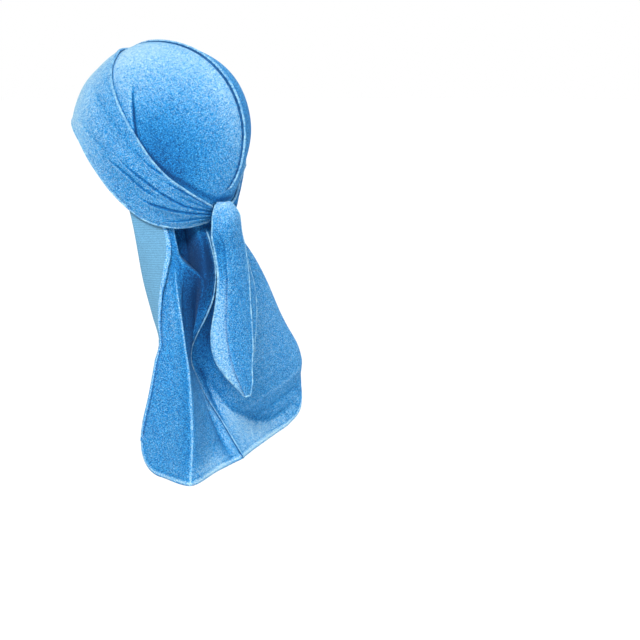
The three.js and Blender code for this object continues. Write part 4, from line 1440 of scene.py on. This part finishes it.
def build_tie(name, rows, length, width, folded):
    size = sizes()
    grid = tie_grid(rows, length, width, folded)
    normals = grid_normals(grid)
    normals *= np.sign((normals[TIE_STEPS // 2, TIE_ROWS // 2] * (0.7, 0.7, 0)).sum())
    run, down = run_length(grid, 1), run_length(grid, 0)
    soft = ripple(run / 0.007, down / 0.05, 31 + len(name)) * TIE_WAVE
    edge = smooth(np.minimum(run, run[:, -1:] - run) / 0.004)
    grid = grid + normals * (soft * edge)[..., None]
    step, share = tie_places()
    # Painted light and shade on the tie: a highlight over the knot, and on the near tie, shade
    # above its under layer and beside its fold
    painted_light = TIE_TOP_HIGHLIGHT * np.exp(-((step - 0.1) / 0.14) ** 2) * np.ones_like(share)
    if folded:
        past = share - fold_place(step)
        pale = UNDER_LIGHT * smooth((step - 0.5) / 0.15)
        pale = pale - UNDER_PAINTED_SHADE * np.exp(-((step - 0.44) / 0.07) ** 2)
        painted_light = painted_light + pale * smooth(0.5 - past / 0.04)
        painted_light = painted_light - FOLD_PAINTED_SHADE * smooth((step - 0.4) / 0.15) * np.exp(-(past / 0.03) ** 2)
    outer, inner = grid + normals * size.tie_cloth / 2, grid - normals * size.tie_cloth / 2
    uv = np.stack([run, down], axis=-1)
    piece = sheet_object(name + "_velvet", outer, inner, {"cloth": uv}, one_shade(outer, 0, 1, 2),
                         cloth_materials(), painted_light, crest=CREST_TIE)
    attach(piece, "root")
    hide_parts(name)
    start = TIE_STEPS // 8
    path, out = (np.concatenate([of[start:, 0], of[-1, 1:], of[start:-1, -1][::-1]])
                 for of in (grid, normals))
    rope = rope_object(name + "_hem", path, out, *TIE_HEM, size.stitch, material("pale_thread"))
    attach(rope, "root")


# Stage


CAMERA_PLACE = (0.9971, 0.7242, 0.1216)
CAMERA_AIM = (-0.0689, 0.1425, -0.1518)
LENS = 67.5
SENSOR_WIDTH = 36
SUN_PLACE = (1.0, 0.32, 1.0)
SUN_STRENGTH = 3.2
SUN_ANGLE = 20
LIGHTS = [
    {"name": "fill", "place": (0.1, 2.0, 0.5), "size": 1.2, "power": 12},
    {"name": "back", "place": (-1.1, 0.2, 0.9), "size": 1.0, "power": 9},
]
LIGHTS_AIM = (0, 0, -0.05)
SKY_LIGHT = 0.3
BACKDROP = 1.0
FLOOR_LEVEL = -1.5
FLOOR_RADIUS = 40


def aim(item, place, target):
    item.location = place
    way = Vector(target) - Vector(place)
    item.rotation_euler = way.to_track_quat("-Z", "Y").to_euler()


def add_floor():
    clear_selection()
    bpy.ops.mesh.primitive_circle_add(vertices=64, radius=FLOOR_RADIUS, fill_type="NGON",
                                      location=(0, 0, 0))
    floor = bpy.context.active_object
    floor.name = "floor"
    for vertex in floor.data.vertices:
        vertex.co.z = FLOOR_LEVEL
    floor.data.materials.append(material("studio_floor"))


def add_sky():
    """A soft light all round, and a plain pale backdrop behind the durag."""
    world = bpy.data.worlds.new("studio")
    world.use_nodes = True
    tree = world.node_tree
    sky = tree.nodes["Background"]
    sky.inputs["Color"].default_value = (1, 1, 1, 1)
    strength = tree.nodes.new("ShaderNodeMix")
    strength.inputs[2].default_value = SKY_LIGHT
    strength.inputs[3].default_value = BACKDROP
    seen = tree.nodes.new("ShaderNodeLightPath").outputs["Is Camera Ray"]
    tree.links.new(seen, strength.inputs[0])
    tree.links.new(strength.outputs[0], sky.inputs["Strength"])
    bpy.context.scene.world = world


def build_stage():
    add_floor()
    data = bpy.data.lights.new("sun", "SUN")
    data.energy = SUN_STRENGTH
    data.angle = math.radians(SUN_ANGLE)
    aim(add_object("sun", data), SUN_PLACE, (0, 0, 0))
    for light in LIGHTS:
        data = bpy.data.lights.new(light["name"], "AREA")
        data.size = light["size"]
        data.energy = light["power"]
        aim(add_object(light["name"], data), light["place"], LIGHTS_AIM)
    add_sky()
    bpy.context.scene.view_settings.view_transform = "Standard"
    data = bpy.data.cameras.new("camera")
    data.lens = LENS
    data.sensor_width = SENSOR_WIDTH
    camera = add_object("camera", data)
    aim(camera, CAMERA_PLACE, CAMERA_AIM)
    bpy.context.scene.camera = camera


# Operators


class DURAG_OT_panels(Operator):
    """Build the two panels, each a crown half and a tail half in one cloth"""

    bl_options = {"REGISTER", "UNDO"}
    bl_idname = "durag.panels"
    bl_label = "Panels"

    def execute(self, context):
        PANELS[LEFT] = build_panel(LEFT, "panel_left")
        PANELS[RIGHT] = build_panel(RIGHT, "panel_right")
        return {"FINISHED"}


class DURAG_OT_seams(Operator):
    """Build the raised seams of the crown and the tail"""

    bl_options = {"REGISTER", "UNDO"}
    bl_idname = "durag.seams"
    bl_label = "Seams"

    def execute(self, context):
        build_seam("crown_seam", CROWN_SEAM_START, CROWN_SEAM_END, 1)
        build_seam("tail_seam", TAIL_SEAM_START, 2, TAIL_SEAM_SHARE)
        return {"FINISHED"}


class DURAG_OT_band(Operator):
    """Build the wrap band with its pleats and its hems"""

    bl_options = {"REGISTER", "UNDO"}
    bl_idname = "durag.band"
    bl_label = "Wrap band"

    def execute(self, context):
        build_band()
        return {"FINISHED"}


class DURAG_OT_knot(Operator):
    """Build the knot at the nape"""

    bl_options = {"REGISTER", "UNDO"}
    bl_idname = "durag.knot"
    bl_label = "Knot"

    def execute(self, context):
        build_knot()
        return {"FINISHED"}


class DURAG_OT_ties(Operator):
    """Build the two tie ends"""

    bl_options = {"REGISTER", "UNDO"}
    bl_idname = "durag.ties"
    bl_label = "Tie ends"

    def execute(self, context):
        build_tie("tie_end_near", NEAR_TIE, TIE_LENGTH, TIE_WIDTH, True)
        build_tie("tie_end_far", FAR_TIE, FAR_TIE_LENGTH, FAR_TIE_WIDTH, False)
        return {"FINISHED"}


class DURAG_OT_stage(Operator):
    """Set the floor, the lights and the camera"""

    bl_options = {"REGISTER", "UNDO"}
    bl_idname = "durag.stage"
    bl_label = "Stage"

    def execute(self, context):
        build_stage()
        return {"FINISHED"}


STEPS = (DURAG_OT_panels, DURAG_OT_seams, DURAG_OT_band, DURAG_OT_knot, DURAG_OT_ties,
         DURAG_OT_stage)


class DURAG_PT_sidebar(Panel):
    """The durag's operators, with its sizes and colours"""

    bl_label = "Durag"
    bl_idname = "DURAG_PT_sidebar"
    bl_space_type = "VIEW_3D"
    bl_region_type = "UI"
    bl_category = "Durag"

    def draw(self, context):
        for step in STEPS:
            self.layout.operator(step.bl_idname)
        for group in (context.scene.durag_sizes, context.scene.durag_colors):
            box = self.layout.box()
            for key in group.bl_rna.properties.keys():
                if key not in {"rna_type", "name"}:
                    box.prop(group, key)


CLASSES = (DuragSizes, DuragColors, *STEPS, DURAG_PT_sidebar)


def register():
    for item in CLASSES:
        bpy.utils.register_class(item)
    bpy.types.Scene.durag_sizes = PointerProperty(type=DuragSizes)
    bpy.types.Scene.durag_colors = PointerProperty(type=DuragColors)


def unregister():
    del bpy.types.Scene.durag_colors
    del bpy.types.Scene.durag_sizes
    for item in reversed(CLASSES):
        bpy.utils.unregister_class(item)


def main():
    register()
    for step in STEPS:
        group, name = step.bl_idname.split(".")
        getattr(getattr(bpy.ops, group), name)()
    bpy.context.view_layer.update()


if __name__ == "__main__":
    main()
